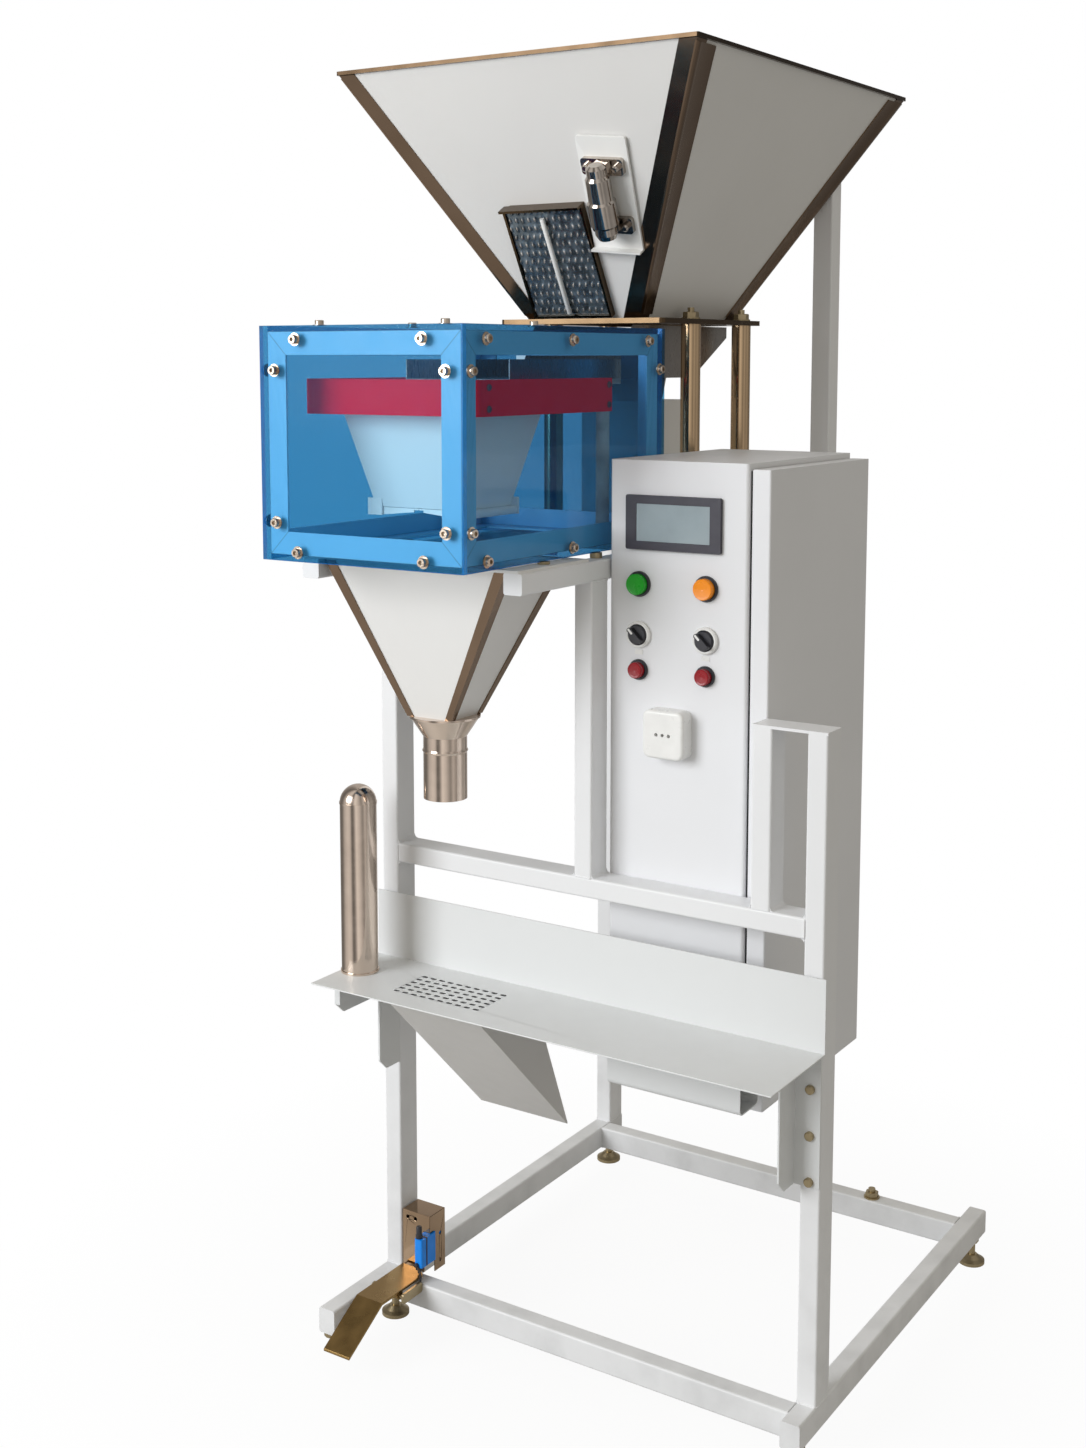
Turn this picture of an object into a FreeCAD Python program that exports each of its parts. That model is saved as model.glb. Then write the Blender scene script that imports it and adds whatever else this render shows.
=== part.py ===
import FreeCAD, Part
import math
import os

from FreeCAD import Vector

# Free-standing dosing machine: hopper, vibrating feeder, weighing box, discharge funnel,
# packing shelf, foot pedal and control cabinet on a welded tube frame. Millimetres, +Z up.
# While the pieces are made, X is 0 at the left post's outer side, Y is 0 at the front face of
# the front posts and Z is 0 at the floor. At the end the origin moves under the middle.

# Frame tube
POST_W = 30.0
POST_D = 45.0
TUBE_WALL = 2.0
TUBE_CORNER = 3.5
FRAME_W = 752.0

# Base rails and feet
RAIL_W = 30.0
RAIL_H = 40.0
RAIL_Z = 45.0
LEFT_RAIL_FRONT = -169.0
RIGHT_RAIL_FRONT = -52.0
REAR_POST_Y = 648.0
FOOT_R = 22.0
FOOT_DISC_H = 9.0
FOOT_STEM_R = 6.0
FOOT_NUT_R = 10.0
FOOT_NUT_H = 8.0
FOOT_WASHER_R = 13.5
FOOT_STEM_TOP = 72.0
FOOT_INSET = 24.0
LEFT_FOOT_Y = 2.0
TIE_BOLT_X = 569.0

# Upper frame
MID_BAR_Z = 750.0
MID_BAR_H = 30.0
MID_POST_X = 354.0
WINDOW_W = 112.0
WINDOW_TOP = 1034.0
CAP_PLATE_T = 4.0
ARM_TOP = 1244.0
ARM_H = 30.0
ARM_FRONT = -180.0
REAR_POST_X = 434.0
REAR_POST_W = 36.0
MAST_W = 36.0
MAST_BACK = 763.0
MAST_TOP = 1880.0

# Packing shelf
SHELF_Z = 598.0
SHELF_T = 2.0
SHELF_FRONT = -170.0
SHELF_BACK = -3.0
SHELF_OVERHANG = 6.0
SHELF_PLATE_TOP = 702.0
PERF_X = 122.0
PERF_Y = -124.0
PERF_COLS = 10
PERF_ROWS = 6
PERF_PITCH_X = 16.0
PERF_PITCH_Y = 14.0
PERF_LENGTH = 10.0
PERF_WIDTH = 6.0
BRACKET_T = 3.0
BRACKET_W = 41.0
LEFT_BRACKET_BOTTOM = 426.0
RIGHT_BRACKET_BOTTOM = 404.0
BRACKET_DEPTH = 50.0
BRACKET_CHAMFER = 17.0
ARM_PLATE_FRONT = -120.0
ARM_PLATE_H = 45.0
BRACKET_BOLT_PITCH = 66.0
BRACKET_BOLT_EDGE = 8.0
ARM_FLANGE = 9.0
LEFT_BOLT_X = 5.0
LEFT_BOLT_R = 4.0
BOLT_HEAD_R = 6.5
BOLT_HEAD_H = 6.0
CHANNEL_X = (450.0, 660.0)
CHANNEL_Y = (-62.0, -6.0)
CHANNEL_BOTTOM = 507.0
CHANNEL_CORNER = 9.0
CHUTE_X = (108.0, 273.0)
CHUTE_FRONT = -142.0
CHUTE_BACK = 8.0
CHUTE_LIP_Y = 113.0
CHUTE_LIP_Z = 342.0
SHEET_T = 2.0

# Domed tube on the shelf
SAMPLE_X = 20.0
SAMPLE_Y = -84.0
SAMPLE_R = 28.0
SAMPLE_BODY_H = 264.0
SAMPLE_FLANGE_R = 29.5

# Pedal and limit switch
PEDAL_X = (36.0, 86.0)
PEDAL_T = 4.0
PEDAL_TOP = 94.0
PEDAL_REAR = -6.0
PEDAL_BEND_Y = -122.0
PEDAL_TIP = (-202.0, 40.0)
PEDAL_CHAMFER = 14.0
PEDAL_PIVOT_Y = -72.0
PEDAL_PIN_R = 4.0
PEDAL_KNUCKLE_R = 7.5
RUN_GAP = 0.05
PEDAL_EAR_X = 90.0
PEDAL_EAR_T = 4.0
GUARD_X = (33.0, 87.0)
GUARD_Y = (0.0, 40.0)
GUARD_Z = (86.0, 182.0)
GUARD_T = 2.0
GUARD_HOLE_R = 3.0
GUARD_HOLE_DROP = 11.0
GUARD_HOLE_X = 43.0
GUARD_HOLE_PITCH = 15.0
GUARD_BOLT_Y = 27.0
GUARD_BOLT_DROP = 37.0
GUARD_BOLT_PITCH = 45.0
SWITCH_X = (75.0, 90.0)
SWITCH_Y = (-26.0, 12.0)
SWITCH_Z = (108.0, 154.0)
SWITCH_GUIDE_R = 5.0
SWITCH_GUIDE_H = 5.0
SWITCH_ROD_R = 3.0
SWITCH_ROD_Y = -20.0
SWITCH_ROD_X = 80.5
SWITCH_ROD_TRAVEL_GAP = 0.5

# Weighing box
CENTRE_X = 192.0
BOX_W = 345.0
BOX_FRONT = -286.0
BOX_BACK = 241.0
BOX_Z = (1252.0, 1576.0)
PANEL_T = 8.0
ANGLE_LEG = 32.0
ANGLE_T = 3.0
FLOOR_OPENING_X = 296.0
FLOOR_OPENING_Y = (-165.0, -23.0)
SCREW_HEAD_R = 6.5
SCREW_HEAD_H = 8.0
SCREW_EDGE = 19.0
SCREW_FRONT_DX = 108.0
SCREW_SIDE_DY = 212.0
SCREW_CORNER_DZ = 61.0
SCREW_CORNER_EDGE = 17.0
SPACER_R = 9.0

# Weighing gear in the box
BAR_T = 6.0
BAR_Z = (1454.0, 1503.0)
BAR_FRONT = -219.0
BAR_REAR = 120.0
BAR_GAP = 12.5
COLUMN_R = 10.0
CELL_SIZE = (22.0, 110.0, 28.0)
CELL_Z = 1456.0
CELL_WEB_R = 9.0
BUCKET_Y = -94.0
BUCKET_TOP = (236.0, 190.0, 1486.0)
BUCKET_BOTTOM = (150.0, 120.0, 1322.0)
BUCKET_LIP = 8.0
GATE_PIN_R = 3.0
GATE_KNUCKLE_R = 6.0
GATE_GAP = 0.8
GATE_LUG_T = 3.0
CYLINDER_R = 11.0
CYLINDER_Z = (1362.0, 1446.0)
CYLINDER_ROD_R = 4.0
CYLINDER_ROD_END = 1342.0
CYLINDER_CAP_H = 10.0
CYLINDER_CAP_RIM = 1.5

# Discharge funnel and spout
FUNNEL_ARM_GAP = 4.0
FUNNEL_D = 150.0
FUNNEL_END = 74.0
FUNNEL_Z = (1018.0, 1244.0)
FLANGE_T = 4.0
FUNNEL_FLANGE_LIP = 3.0
STRIP_T = 2.0
FUNNEL_STRIP_W = 17.0
FUNNEL_STRIP_END_W = 9.0
ADAPTER_R = 52.0
ADAPTER_H = 28.0
SPOUT_R = 32.0
SPOUT_WALL = 1.5
SPOUT_END = 895.0
SPOUT_BEAD_Z = 966.0
SPOUT_BEAD_H = 3.0

# Hopper
HOPPER_Y = 441.5
HOPPER_Z = (1594.0, 1976.0)
HOPPER_OUTLET = (203.0, 313.0)
HOPPER_RIM = (636.0, 749.0)
RIM_CORNER = 3.0
HOPPER_STRIP_W = 27.0
RIM_H = 6.0
PLATE_W = 304.0
PLATE_D = 340.0
PLATE_T = 8.0
PLATE_OPENING = (168.0, 300.0)
PIPE_DX = 131.0
PIPE_Y = (400.0, 578.0)
PIPE_R = 16.0
PIPE_WALL = 2.0
PIPE_NUT_R = 11.0
PIPE_NUT_H = 9.0
PIPE_WASHER_R = 15.0
PIPE_WASHER_H = 2.5

# Sight panel and vibrator on the hopper's front wall, measured in the wall's own plane
SIGHT_X = (-84.0, 61.0)
SIGHT_UP = (8.0, 200.0)
SIGHT_STANDOFF = 4.0
SIGHT_DEPTH = 8.0
SIGHT_RIM = 4.0
SIGHT_SHEET_T = 1.5
SIGHT_LEDGE = 10.0
SIGHT_ROD_X = -12.0
SIGHT_ROD_R = 3.5
SIGHT_ROD_UP = (18.0, 182.0)
VIB_X = 113.0
VIB_UP = 212.0
VIB_TILT = 6.0
VIB_PLATE = (84.0, 184.0)
VIB_PLATE_T = 4.0
VIB_PAD = (34.0, 24.0)
VIB_PAD_X = -18.0
VIB_PAD_UP = 66.0
VIB_R = 22.0
VIB_LENGTH = 118.0
VIB_FOOT = (70.0, 26.0, 8.0)
VIB_BOLT_R = 6.0
VIB_BOLT_H = 9.0

# Feeder under the hopper
TROUGH_W = 184.0
TROUGH_FLOOR = 1500.0
TROUGH_WALL_H = 30.0
TROUGH_FRONT = -60.0
TROUGH_BEND_Y = 480.0
TROUGH_REAR_Z = 1566.0
HOOD_GAP = 2.0
DRIVE_W = 124.0
DRIVE_Y = (375.0, 545.0)
DRIVE_Z = (1264.0, 1462.0)
DRIVE_CORNER = 6.0
DRIVE_BASE_T = 8.0
MOUNT_R = 14.0
LEAF_T = 3.0
LEAF_LEAN = 14.0

# Control cabinet
CAB_GAP = 3.0
CAB_W = 221.0
CAB_DEPTH = 345.0
CAB_Z = (460.0, 1388.0)
CAB_SHEET = 2.0
CAB_CORNER = 5.0
CAB_LIP = 18.0
DOOR_GAP = 3.0
DOOR_T = 28.0
DOOR_INSET_Y = 5.0
DOOR_INSET_Z = 8.0
DOOR_CORNER = 3.0
HINGE_PIN_R = 4.0
HINGE_BARREL_R = 6.0
HINGE_INSET = 9.0
HINGE_H = 40.0
HINGE_Z = (560.0, 1250.0)
LUG_H = 12.0
LUG_GAP = 0.5
PLATE_INSET = 55.0
PLATE_STANDOFF = 10.0
RAIL_LEVELS = 3
RAIL_DEPTH = 7.5
DEVICE_RAIL_H = 35.0
DEVICE_H = 85.0
DEVICE_DEPTHS = (60.0, 48.0)
DEVICE_GAP = 2.0
DEVICES_PER_RAIL = 4

# Operator panel on the cabinet's front
HMI_LEFT = 29.0
HMI_W = 152.0
HMI_DROP = 49.0
HMI_H = 78.0
HMI_T = 6.0
HMI_CORNER = 3.0
HMI_SCREEN_EDGE_X = 17.0
HMI_SCREEN_EDGE_Z = 12.0
HMI_SCREEN_DEPTH = 1.5
HMI_BODY_D = 42.0
HMI_BODY_EDGE = 8.0
BUTTON_LEFT = 49.0
BUTTON_PITCH = 108.0
PUSH_DROP = 50.0
SELECTOR_DROP = 73.0
SMALL_DROP = 51.0
PUSH_R = 15.0
SMALL_R = 11.5
BEZEL_RIM = 3.5
BEZEL_H = 5.0
BARREL_WALL = 2.0
BARREL_D = 22.0
CAP_GAP = 0.4
CAP_PROUD = 14.0
CAP_TRAVEL = 4.0
CAP_STEM_D = 14.0
KNOB_PROUD = 17.0
KNOB_GRIP_T = 7.0
BLOCK_D = 24.0
SOCKET_LEFT = 103.0
SOCKET_DROP = 86.0
SOCKET_W = 66.0
SOCKET_H = 70.0
SOCKET_DEPTH = 27.0
SOCKET_CORNER = 11.0
SOCKET_HOLE_R = 2.6
SOCKET_HOLE_PITCH = 10.0
SOCKET_HOLE_D = 15.0

# Places worked out from the sizes above
RAIL_TOP = RAIL_Z + RAIL_H
RIGHT_POST_X = FRAME_W - POST_W
WINDOW_POST_X = FRAME_W - WINDOW_W
RAIL_BACK = REAR_POST_Y + POST_D
ARM_Z = (ARM_TOP - ARM_H, ARM_TOP)
REAR_BEAM_Y = REAR_POST_Y - RAIL_W
BOX_X = (CENTRE_X - BOX_W / 2, CENTRE_X + BOX_W / 2)
BOX_Y = (BOX_FRONT, BOX_BACK)
BOX_MID_Y = (BOX_FRONT + BOX_BACK) / 2
BAR_HALF_W = BOX_W / 2 - PANEL_T - BAR_GAP
FUNNEL_W = MID_POST_X - POST_W - FUNNEL_ARM_GAP * 2
CAB_X = (MID_POST_X + POST_W + CAB_GAP, MID_POST_X + POST_W + CAB_GAP + CAB_W)
CAB_Y = (POST_D, POST_D + CAB_DEPTH)
DOOR_X = (CAB_X[1] + DOOR_GAP, CAB_X[1] + DOOR_GAP + DOOR_T)
DOOR_Y = (CAB_Y[0] + DOOR_INSET_Y, CAB_Y[1] - DOOR_GAP)
DOOR_Z = (CAB_Z[0] + DOOR_INSET_Z, CAB_Z[1] - DOOR_INSET_Z)
HINGE_X = DOOR_X[1] - HINGE_INSET
HINGE_Y = DOOR_Y[1] - HINGE_INSET
HMI_X = (CAB_X[0] + HMI_LEFT, CAB_X[0] + HMI_LEFT + HMI_W)
HMI_Z = (CAB_Z[1] - HMI_DROP - HMI_H, CAB_Z[1] - HMI_DROP)
BUTTON_X = (CAB_X[0] + BUTTON_LEFT, CAB_X[0] + BUTTON_LEFT + BUTTON_PITCH)
PUSH_Z = HMI_Z[0] - PUSH_DROP
SELECTOR_Z = PUSH_Z - SELECTOR_DROP
SMALL_Z = SELECTOR_Z - SMALL_DROP
SOCKET_X = CAB_X[0] + SOCKET_LEFT
SOCKET_Z = SMALL_Z - SOCKET_DROP
PLATE_TOP = HOPPER_Z[0]
PLATE_Z = (PLATE_TOP - PLATE_T, PLATE_TOP)
VIB_SEAT = -VIB_PLATE_T - STRIP_T - CAP_GAP
WALL_RUN = (HOPPER_RIM[1] - HOPPER_OUTLET[1]) / 2
WALL_LEAN = math.degrees(math.atan2(WALL_RUN, HOPPER_Z[1] - HOPPER_Z[0]))
WALL_FOOT = Vector(CENTRE_X, HOPPER_Y - HOPPER_OUTLET[1] / 2, HOPPER_Z[0])
DOWN = Vector(0, 0, -1)
UP = Vector(0, 0, 1)
FRONT = Vector(0, -1, 0)
ALONG_X = Vector(1, 0, 0)
ALONG_Y = Vector(0, 1, 0)


def middle(span):
    return (span[0] + span[1]) / 2


def block(x, y, z):
    """Plain block between two values on each axis."""
    return Part.makeBox(x[1] - x[0], y[1] - y[0], z[1] - z[0], Vector(x[0], y[0], z[0]))


def rounded_wire(u, v, radius, level):
    """Closed rectangle with round corners in a level plane."""
    corners = [(u[1], v[1], 0), (u[0], v[1], 90), (u[0], v[0], 180), (u[1], v[0], 270)]
    edges = []
    ends = []
    for cu, cv, start in corners:
        side_u = 1 if cu == u[0] else -1
        side_v = 1 if cv == v[0] else -1
        centre = Vector(cu + side_u * radius, cv + side_v * radius, level)
        arc = Part.Arc(Part.Circle(centre, UP, radius), math.radians(start), math.radians(start + 90))
        edges.append(arc.toShape())
        ends.append((arc.value(math.radians(start)), arc.value(math.radians(start + 90))))
    path = []
    for index, edge in enumerate(edges):
        path.append(edge)
        path.append(Part.makeLine(ends[index][1], ends[(index + 1) % 4][0]))
    return Part.Wire(path)


def rounded_prism(x, y, z, radius, axis):
    """Bar along one axis whose four long edges are round."""
    turns = {"z": (x, y, z, 0), "x": (y, z, x, 120), "y": (z, x, y, 240)}
    u, v, w, turn = turns[axis]
    bar = Part.Face(rounded_wire(u, v, radius, w[0])).extrude(Vector(0, 0, w[1] - w[0]))
    bar.rotate(Vector(0, 0, 0), Vector(1, 1, 1), turn)
    return bar


def shrink(span, start, end):
    return (span[0] + start, span[1] - end)


def square_tube(x, y, z, axis, closed=(False, False)):
    """Rectangular hollow section; an end named closed has a welded cap."""
    outer = rounded_prism(x, y, z, TUBE_CORNER, axis)
    spans = {"x": x, "y": y, "z": z}
    inner = {name: shrink(span, TUBE_WALL, TUBE_WALL) for name, span in spans.items()}
    caps = [TUBE_WALL if shut else -TUBE_WALL for shut in closed]
    inner[axis] = shrink(spans[axis], caps[0], caps[1])
    bore = rounded_prism(inner["x"], inner["y"], inner["z"], TUBE_CORNER - TUBE_WALL, axis)
    return outer.cut(bore)


def rod(centre, radius, length, direction):
    return Part.makeCylinder(radius, length, centre, direction)


def sleeve(centre, radius, bore, length, direction):
    return rod(centre, radius, length, direction).cut(rod(centre, bore, length, direction))


def turned(profile, centre, direction):
    """Solid of revolution from (radius, height) points, standing on centre."""
    points = [Vector(radius, 0, height) for radius, height in profile]
    face = Part.Face(Part.makePolygon(points + points[:1]))
    solid = face.revolve(Vector(0, 0, 0), UP, 360)
    solid.Placement = FreeCAD.Placement(centre, FreeCAD.Rotation(UP, direction))
    return solid


def plate_in_yz(points, x):
    """Flat plate from (y, z) points, between two values of X."""
    corners = [Vector(x[0], y, z) for y, z in points]
    return Part.Face(Part.makePolygon(corners + corners[:1])).extrude(Vector(x[1] - x[0], 0, 0))


def plate_in_xz(points, y):
    corners = [Vector(x, y[0], z) for x, z in points]
    return Part.Face(Part.makePolygon(corners + corners[:1])).extrude(Vector(0, y[1] - y[0], 0))


def around(centre, size):
    return (centre - size / 2, centre + size / 2)


def join(shapes):
    """Pieces of one part that are welded or moulded together."""
    return shapes[0].fuse(shapes[1:]).removeSplitter()


def bolt_head(centre, direction, radius=BOLT_HEAD_R, height=BOLT_HEAD_H):
    """Button head with a small chamfer round its top."""
    edge = height / 4
    profile = [(0, 0), (radius, 0), (radius, height - edge), (radius - edge, height), (0, height)]
    return turned(profile, centre, direction)


# Welded frame

def foot_places():
    front_left = Vector(RAIL_W / 2, LEFT_FOOT_Y, 0)
    front_right = Vector(FRAME_W - RAIL_W / 2, RIGHT_RAIL_FRONT + FOOT_INSET, 0)
    back_left = Vector(RAIL_W / 2, RAIL_BACK - FOOT_INSET, 0)
    back_right = Vector(FRAME_W - RAIL_W / 2, RAIL_BACK - FOOT_INSET, 0)
    return [front_left, front_right, back_left, back_right]


def base_rail(x, front):
    """Rail along Y with capped ends, drilled from below for its feet."""
    rail = square_tube(x, (front, RAIL_BACK), (RAIL_Z, RAIL_TOP), "y", (True, True))
    for place in foot_places():
        rail = rail.cut(rod(place, FOOT_STEM_R + CAP_GAP, RAIL_Z + TUBE_WALL * 2, UP))
    return rail


def base_rail_left():
    return base_rail((0, RAIL_W), LEFT_RAIL_FRONT)


def base_rail_right():
    return base_rail((FRAME_W - RAIL_W, FRAME_W), RIGHT_RAIL_FRONT)


def base_cross_rails():
    """Front and rear rails between the two long rails."""
    x = (RAIL_W, FRAME_W - RAIL_W)
    z = (RAIL_Z, RAIL_TOP)
    front = square_tube(x, (-RAIL_W, 0), z, "x")
    rear = square_tube(x, (REAR_BEAM_Y, REAR_POST_Y), z, "x")
    place = Vector(TIE_BOLT_X, middle((REAR_BEAM_Y, REAR_POST_Y)), middle(z))
    hole = rod(place, FOOT_STEM_R + CAP_GAP, RAIL_H, UP)
    return Part.makeCompound([front, rear.cut(hole)])


def foot(place):
    """Levelling foot: swivel disc, threaded stem and lock nut under the rail."""
    neck = FOOT_DISC_H + 6
    profile = [(0, 0), (FOOT_R, 0), (FOOT_R, FOOT_DISC_H * 0.6), (FOOT_R * 0.72, FOOT_DISC_H),
               (FOOT_R * 0.42, neck), (FOOT_STEM_R, neck), (FOOT_STEM_R, RAIL_Z - FOOT_NUT_H),
               (FOOT_NUT_R, RAIL_Z - FOOT_NUT_H), (FOOT_NUT_R, RAIL_Z), (FOOT_STEM_R, RAIL_Z),
               (FOOT_STEM_R, FOOT_STEM_TOP), (0, FOOT_STEM_TOP)]
    return turned(profile, place, UP)


def levelling_feet():
    return Part.makeCompound([foot(place) for place in foot_places()])


def tie_bolt():
    """Stud that stands in the rear rail, with its washer and nut on top."""
    washer = FOOT_NUT_H * 0.3
    top = RAIL_TOP + washer + FOOT_NUT_H
    end = RAIL_Z + TUBE_WALL
    profile = [(0, end), (FOOT_STEM_R, end), (FOOT_STEM_R, RAIL_TOP), (FOOT_WASHER_R, RAIL_TOP),
               (FOOT_WASHER_R, RAIL_TOP + washer),
               (FOOT_NUT_R, RAIL_TOP + washer), (FOOT_NUT_R, top), (FOOT_STEM_R, top),
               (FOOT_STEM_R, top + FOOT_STEM_R), (0, top + FOOT_STEM_R)]
    return turned(profile, Vector(TIE_BOLT_X, middle((REAR_BEAM_Y, REAR_POST_Y)), 0), UP)


def front_post(x, bottom, top, closed_top=False):
    return square_tube((x, x + POST_W), (0, POST_D), (bottom, top), "z", (False, closed_top))


def post_left():
    return front_post(0, RAIL_TOP, ARM_Z[0])


def post_right():
    return front_post(RIGHT_POST_X, RAIL_TOP, WINDOW_TOP)


def post_middle():
    return front_post(MID_POST_X, MID_BAR_Z + MID_BAR_H, ARM_Z[0])


def post_rear_left():
    y = (REAR_POST_Y, REAR_POST_Y + POST_D)
    return square_tube((0, POST_W), y, (RAIL_TOP, ARM_TOP), "z", (False, True))


def mid_cross_bar():
    return square_tube((POST_W, RIGHT_POST_X), (0, POST_D), (MID_BAR_Z, MID_BAR_Z + MID_BAR_H), "x")


def window_frame():
    """Short post beside the cabinet and the flat plate over it and the right post."""
    post = front_post(WINDOW_POST_X, MID_BAR_Z + MID_BAR_H, WINDOW_TOP)
    cap = block((WINDOW_POST_X, FRAME_W), (0, POST_D), (WINDOW_TOP, WINDOW_TOP + CAP_PLATE_T))
    return Part.makeCompound([post, cap])


def box_arm(x, back, closed_back):
    return square_tube((x, x + POST_W), (ARM_FRONT, back), ARM_Z, "y", (True, closed_back))


def box_arms():
    """Left arm to the rear post, right arm on past it to the mast."""
    return Part.makeCompound([box_arm(0, REAR_POST_Y, False), box_arm(MID_POST_X, MAST_BACK, True)])


def upper_cross_beams():
    """Two beams under the hopper pipes and the link from the right arm to the rear post."""
    x = (POST_W, MID_POST_X)
    beams = [square_tube(x, around(y, POST_W), ARM_Z, "x") for y in PIPE_Y]
    link_x = (MID_POST_X + POST_W, REAR_POST_X)
    beams.append(square_tube(link_x, (REAR_BEAM_Y, REAR_POST_Y), ARM_Z, "x"))
    return Part.makeCompound(beams)


def hopper_half_at(level, axis):
    """Half width of the hopper's outside at a height."""
    share = (level - HOPPER_Z[0]) / (HOPPER_Z[1] - HOPPER_Z[0])
    return (HOPPER_OUTLET[axis] + share * (HOPPER_RIM[axis] - HOPPER_OUTLET[axis])) / 2


def mast():
    """Right rear post, and the mast beside the right arm whose sloped head meets the hopper's corner."""
    post = square_tube((REAR_POST_X, REAR_POST_X + REAR_POST_W), (REAR_BEAM_Y, REAR_POST_Y),
                       (RAIL_TOP, ARM_TOP), "z", (False, True))
    side = MID_POST_X + POST_W
    upper = square_tube((side, side + MAST_W), (MAST_BACK - MAST_W, MAST_BACK), (ARM_Z[0], MAST_TOP), "z",
                        (True, True))
    return Part.makeCompound([post, upper.cut(hopper_block(STRIP_T + CAP_GAP))])


# Packing shelf

def perforation():
    """Grid of short slots through the shelf, over the chute."""
    half = (PERF_LENGTH - PERF_WIDTH) / 2
    slots = []
    for column in range(PERF_COLS):
        for row in range(PERF_ROWS):
            x = PERF_X + column * PERF_PITCH_X
            y = PERF_Y + row * PERF_PITCH_Y
            span = (SHELF_Z - SHELF_T * 2, SHELF_Z + SHELF_T)
            slot = rounded_prism((x - half - PERF_WIDTH / 2, x + half + PERF_WIDTH / 2),
                                 around(y, PERF_WIDTH), span, PERF_WIDTH / 2 * 0.98, "z")
            slots.append(slot)
    return Part.makeCompound(slots)


def shelf_tray():
    """Sheet folded up along its back, with the slots over the chute."""
    x = (-SHELF_OVERHANG, FRAME_W + SHELF_OVERHANG)
    tray = block(x, (SHELF_FRONT, SHELF_BACK), (SHELF_Z - SHELF_T, SHELF_Z))
    back = block(x, (SHELF_BACK - SHELF_T, SHELF_BACK), (SHELF_Z - SHELF_T, SHELF_PLATE_TOP))
    return join([tray, back]).cut(perforation())


def shelf_bracket(x, flange_x, bottom):
    """Angle bolted on the post's front face, its flange forwards with the lower corner cut off."""
    z = (bottom, SHELF_Z - SHELF_T)
    face = block(x, (-BRACKET_T, 0), z)
    low = BRACKET_CHAMFER
    flange = plate_in_yz([(0, z[0]), (-BRACKET_DEPTH + low, z[0]), (-BRACKET_DEPTH, z[0] + low),
                          (-BRACKET_DEPTH, z[1]), (0, z[1])], flange_x)
    return join([face, flange])


def support_arm(x):
    """Upright plate under the shelf's end, running forward from the post, its front edge folded."""
    top = SHELF_Z - SHELF_T
    low = top - ARM_PLATE_H
    cut = ARM_PLATE_H / 3
    plate = plate_in_yz([(-BRACKET_T, low), (ARM_PLATE_FRONT + cut, low), (ARM_PLATE_FRONT, low + cut),
                         (ARM_PLATE_FRONT, top), (-BRACKET_T, top)], x)
    fold = block((x[0], x[0] + ARM_FLANGE), (ARM_PLATE_FRONT, ARM_PLATE_FRONT + BRACKET_T), (low + cut, top))
    return join([plate, fold])


def shelf_brackets():
    left_x = (POST_W - BRACKET_W, POST_W)
    right_x = (FRAME_W - BRACKET_W, FRAME_W)
    left = shelf_bracket(left_x, (POST_W - BRACKET_T, POST_W), LEFT_BRACKET_BOTTOM)
    right = shelf_bracket(right_x, (right_x[0], right_x[0] + BRACKET_T), RIGHT_BRACKET_BOTTOM)
    return Part.makeCompound([join([left, support_arm((0, BRACKET_T))]), right])


def shelf_bolts():
    """Three bolts in the right bracket and a small one in the left bracket's foot."""
    left = Vector(LEFT_BOLT_X, -BRACKET_T, LEFT_BRACKET_BOTTOM + BRACKET_BOLT_EDGE)
    heads = [bolt_head(left, FRONT, LEFT_BOLT_R, LEFT_BOLT_R)]
    for step in range(3):
        z = RIGHT_BRACKET_BOTTOM + BRACKET_BOLT_EDGE + step * BRACKET_BOLT_PITCH
        heads.append(bolt_head(Vector(FRAME_W - POST_W / 2, -BRACKET_T, z), FRONT))
    return heads


def shelf_channel():
    """Folded channel under the shelf's right half, open at its ends."""
    z = (CHANNEL_BOTTOM, SHELF_Z - SHELF_T)
    outer = rounded_prism(CHANNEL_X, CHANNEL_Y, (z[0], z[1] + CHANNEL_CORNER), CHANNEL_CORNER, "x")
    inner = rounded_prism(shrink(CHANNEL_X, -SHEET_T, -SHEET_T), shrink(CHANNEL_Y, SHEET_T, SHEET_T),
                          (z[0] + SHEET_T, z[1] + CHANNEL_CORNER * 2), CHANNEL_CORNER - SHEET_T, "x")
    over = block(shrink(CHANNEL_X, -SHEET_T, -SHEET_T), CHANNEL_Y, (z[1], z[1] + CHANNEL_CORNER * 3))
    return outer.cut(inner).cut(over)


def spill_chute():
    """Sloping sheet with two side cheeks that catches what falls through the slots."""
    top = SHELF_Z - SHELF_T
    slope = (CHUTE_LIP_Z - top) / (CHUTE_LIP_Y - CHUTE_FRONT)
    drop = SHEET_T * math.sqrt(1 + slope * slope)
    floor = [(CHUTE_FRONT, top), (CHUTE_LIP_Y, CHUTE_LIP_Z), (CHUTE_LIP_Y, CHUTE_LIP_Z - drop),
             (CHUTE_FRONT, top - drop)]
    cheek = [(CHUTE_FRONT, top), (CHUTE_BACK, top), (CHUTE_LIP_Y, CHUTE_LIP_Z),
             (CHUTE_LIP_Y, CHUTE_LIP_Z - drop), (CHUTE_FRONT, top - drop)]
    left = plate_in_yz(cheek, (CHUTE_X[0], CHUTE_X[0] + SHEET_T))
    right = plate_in_yz(cheek, (CHUTE_X[1] - SHEET_T, CHUTE_X[1]))
    return join([plate_in_yz(floor, CHUTE_X), left, right])


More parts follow.
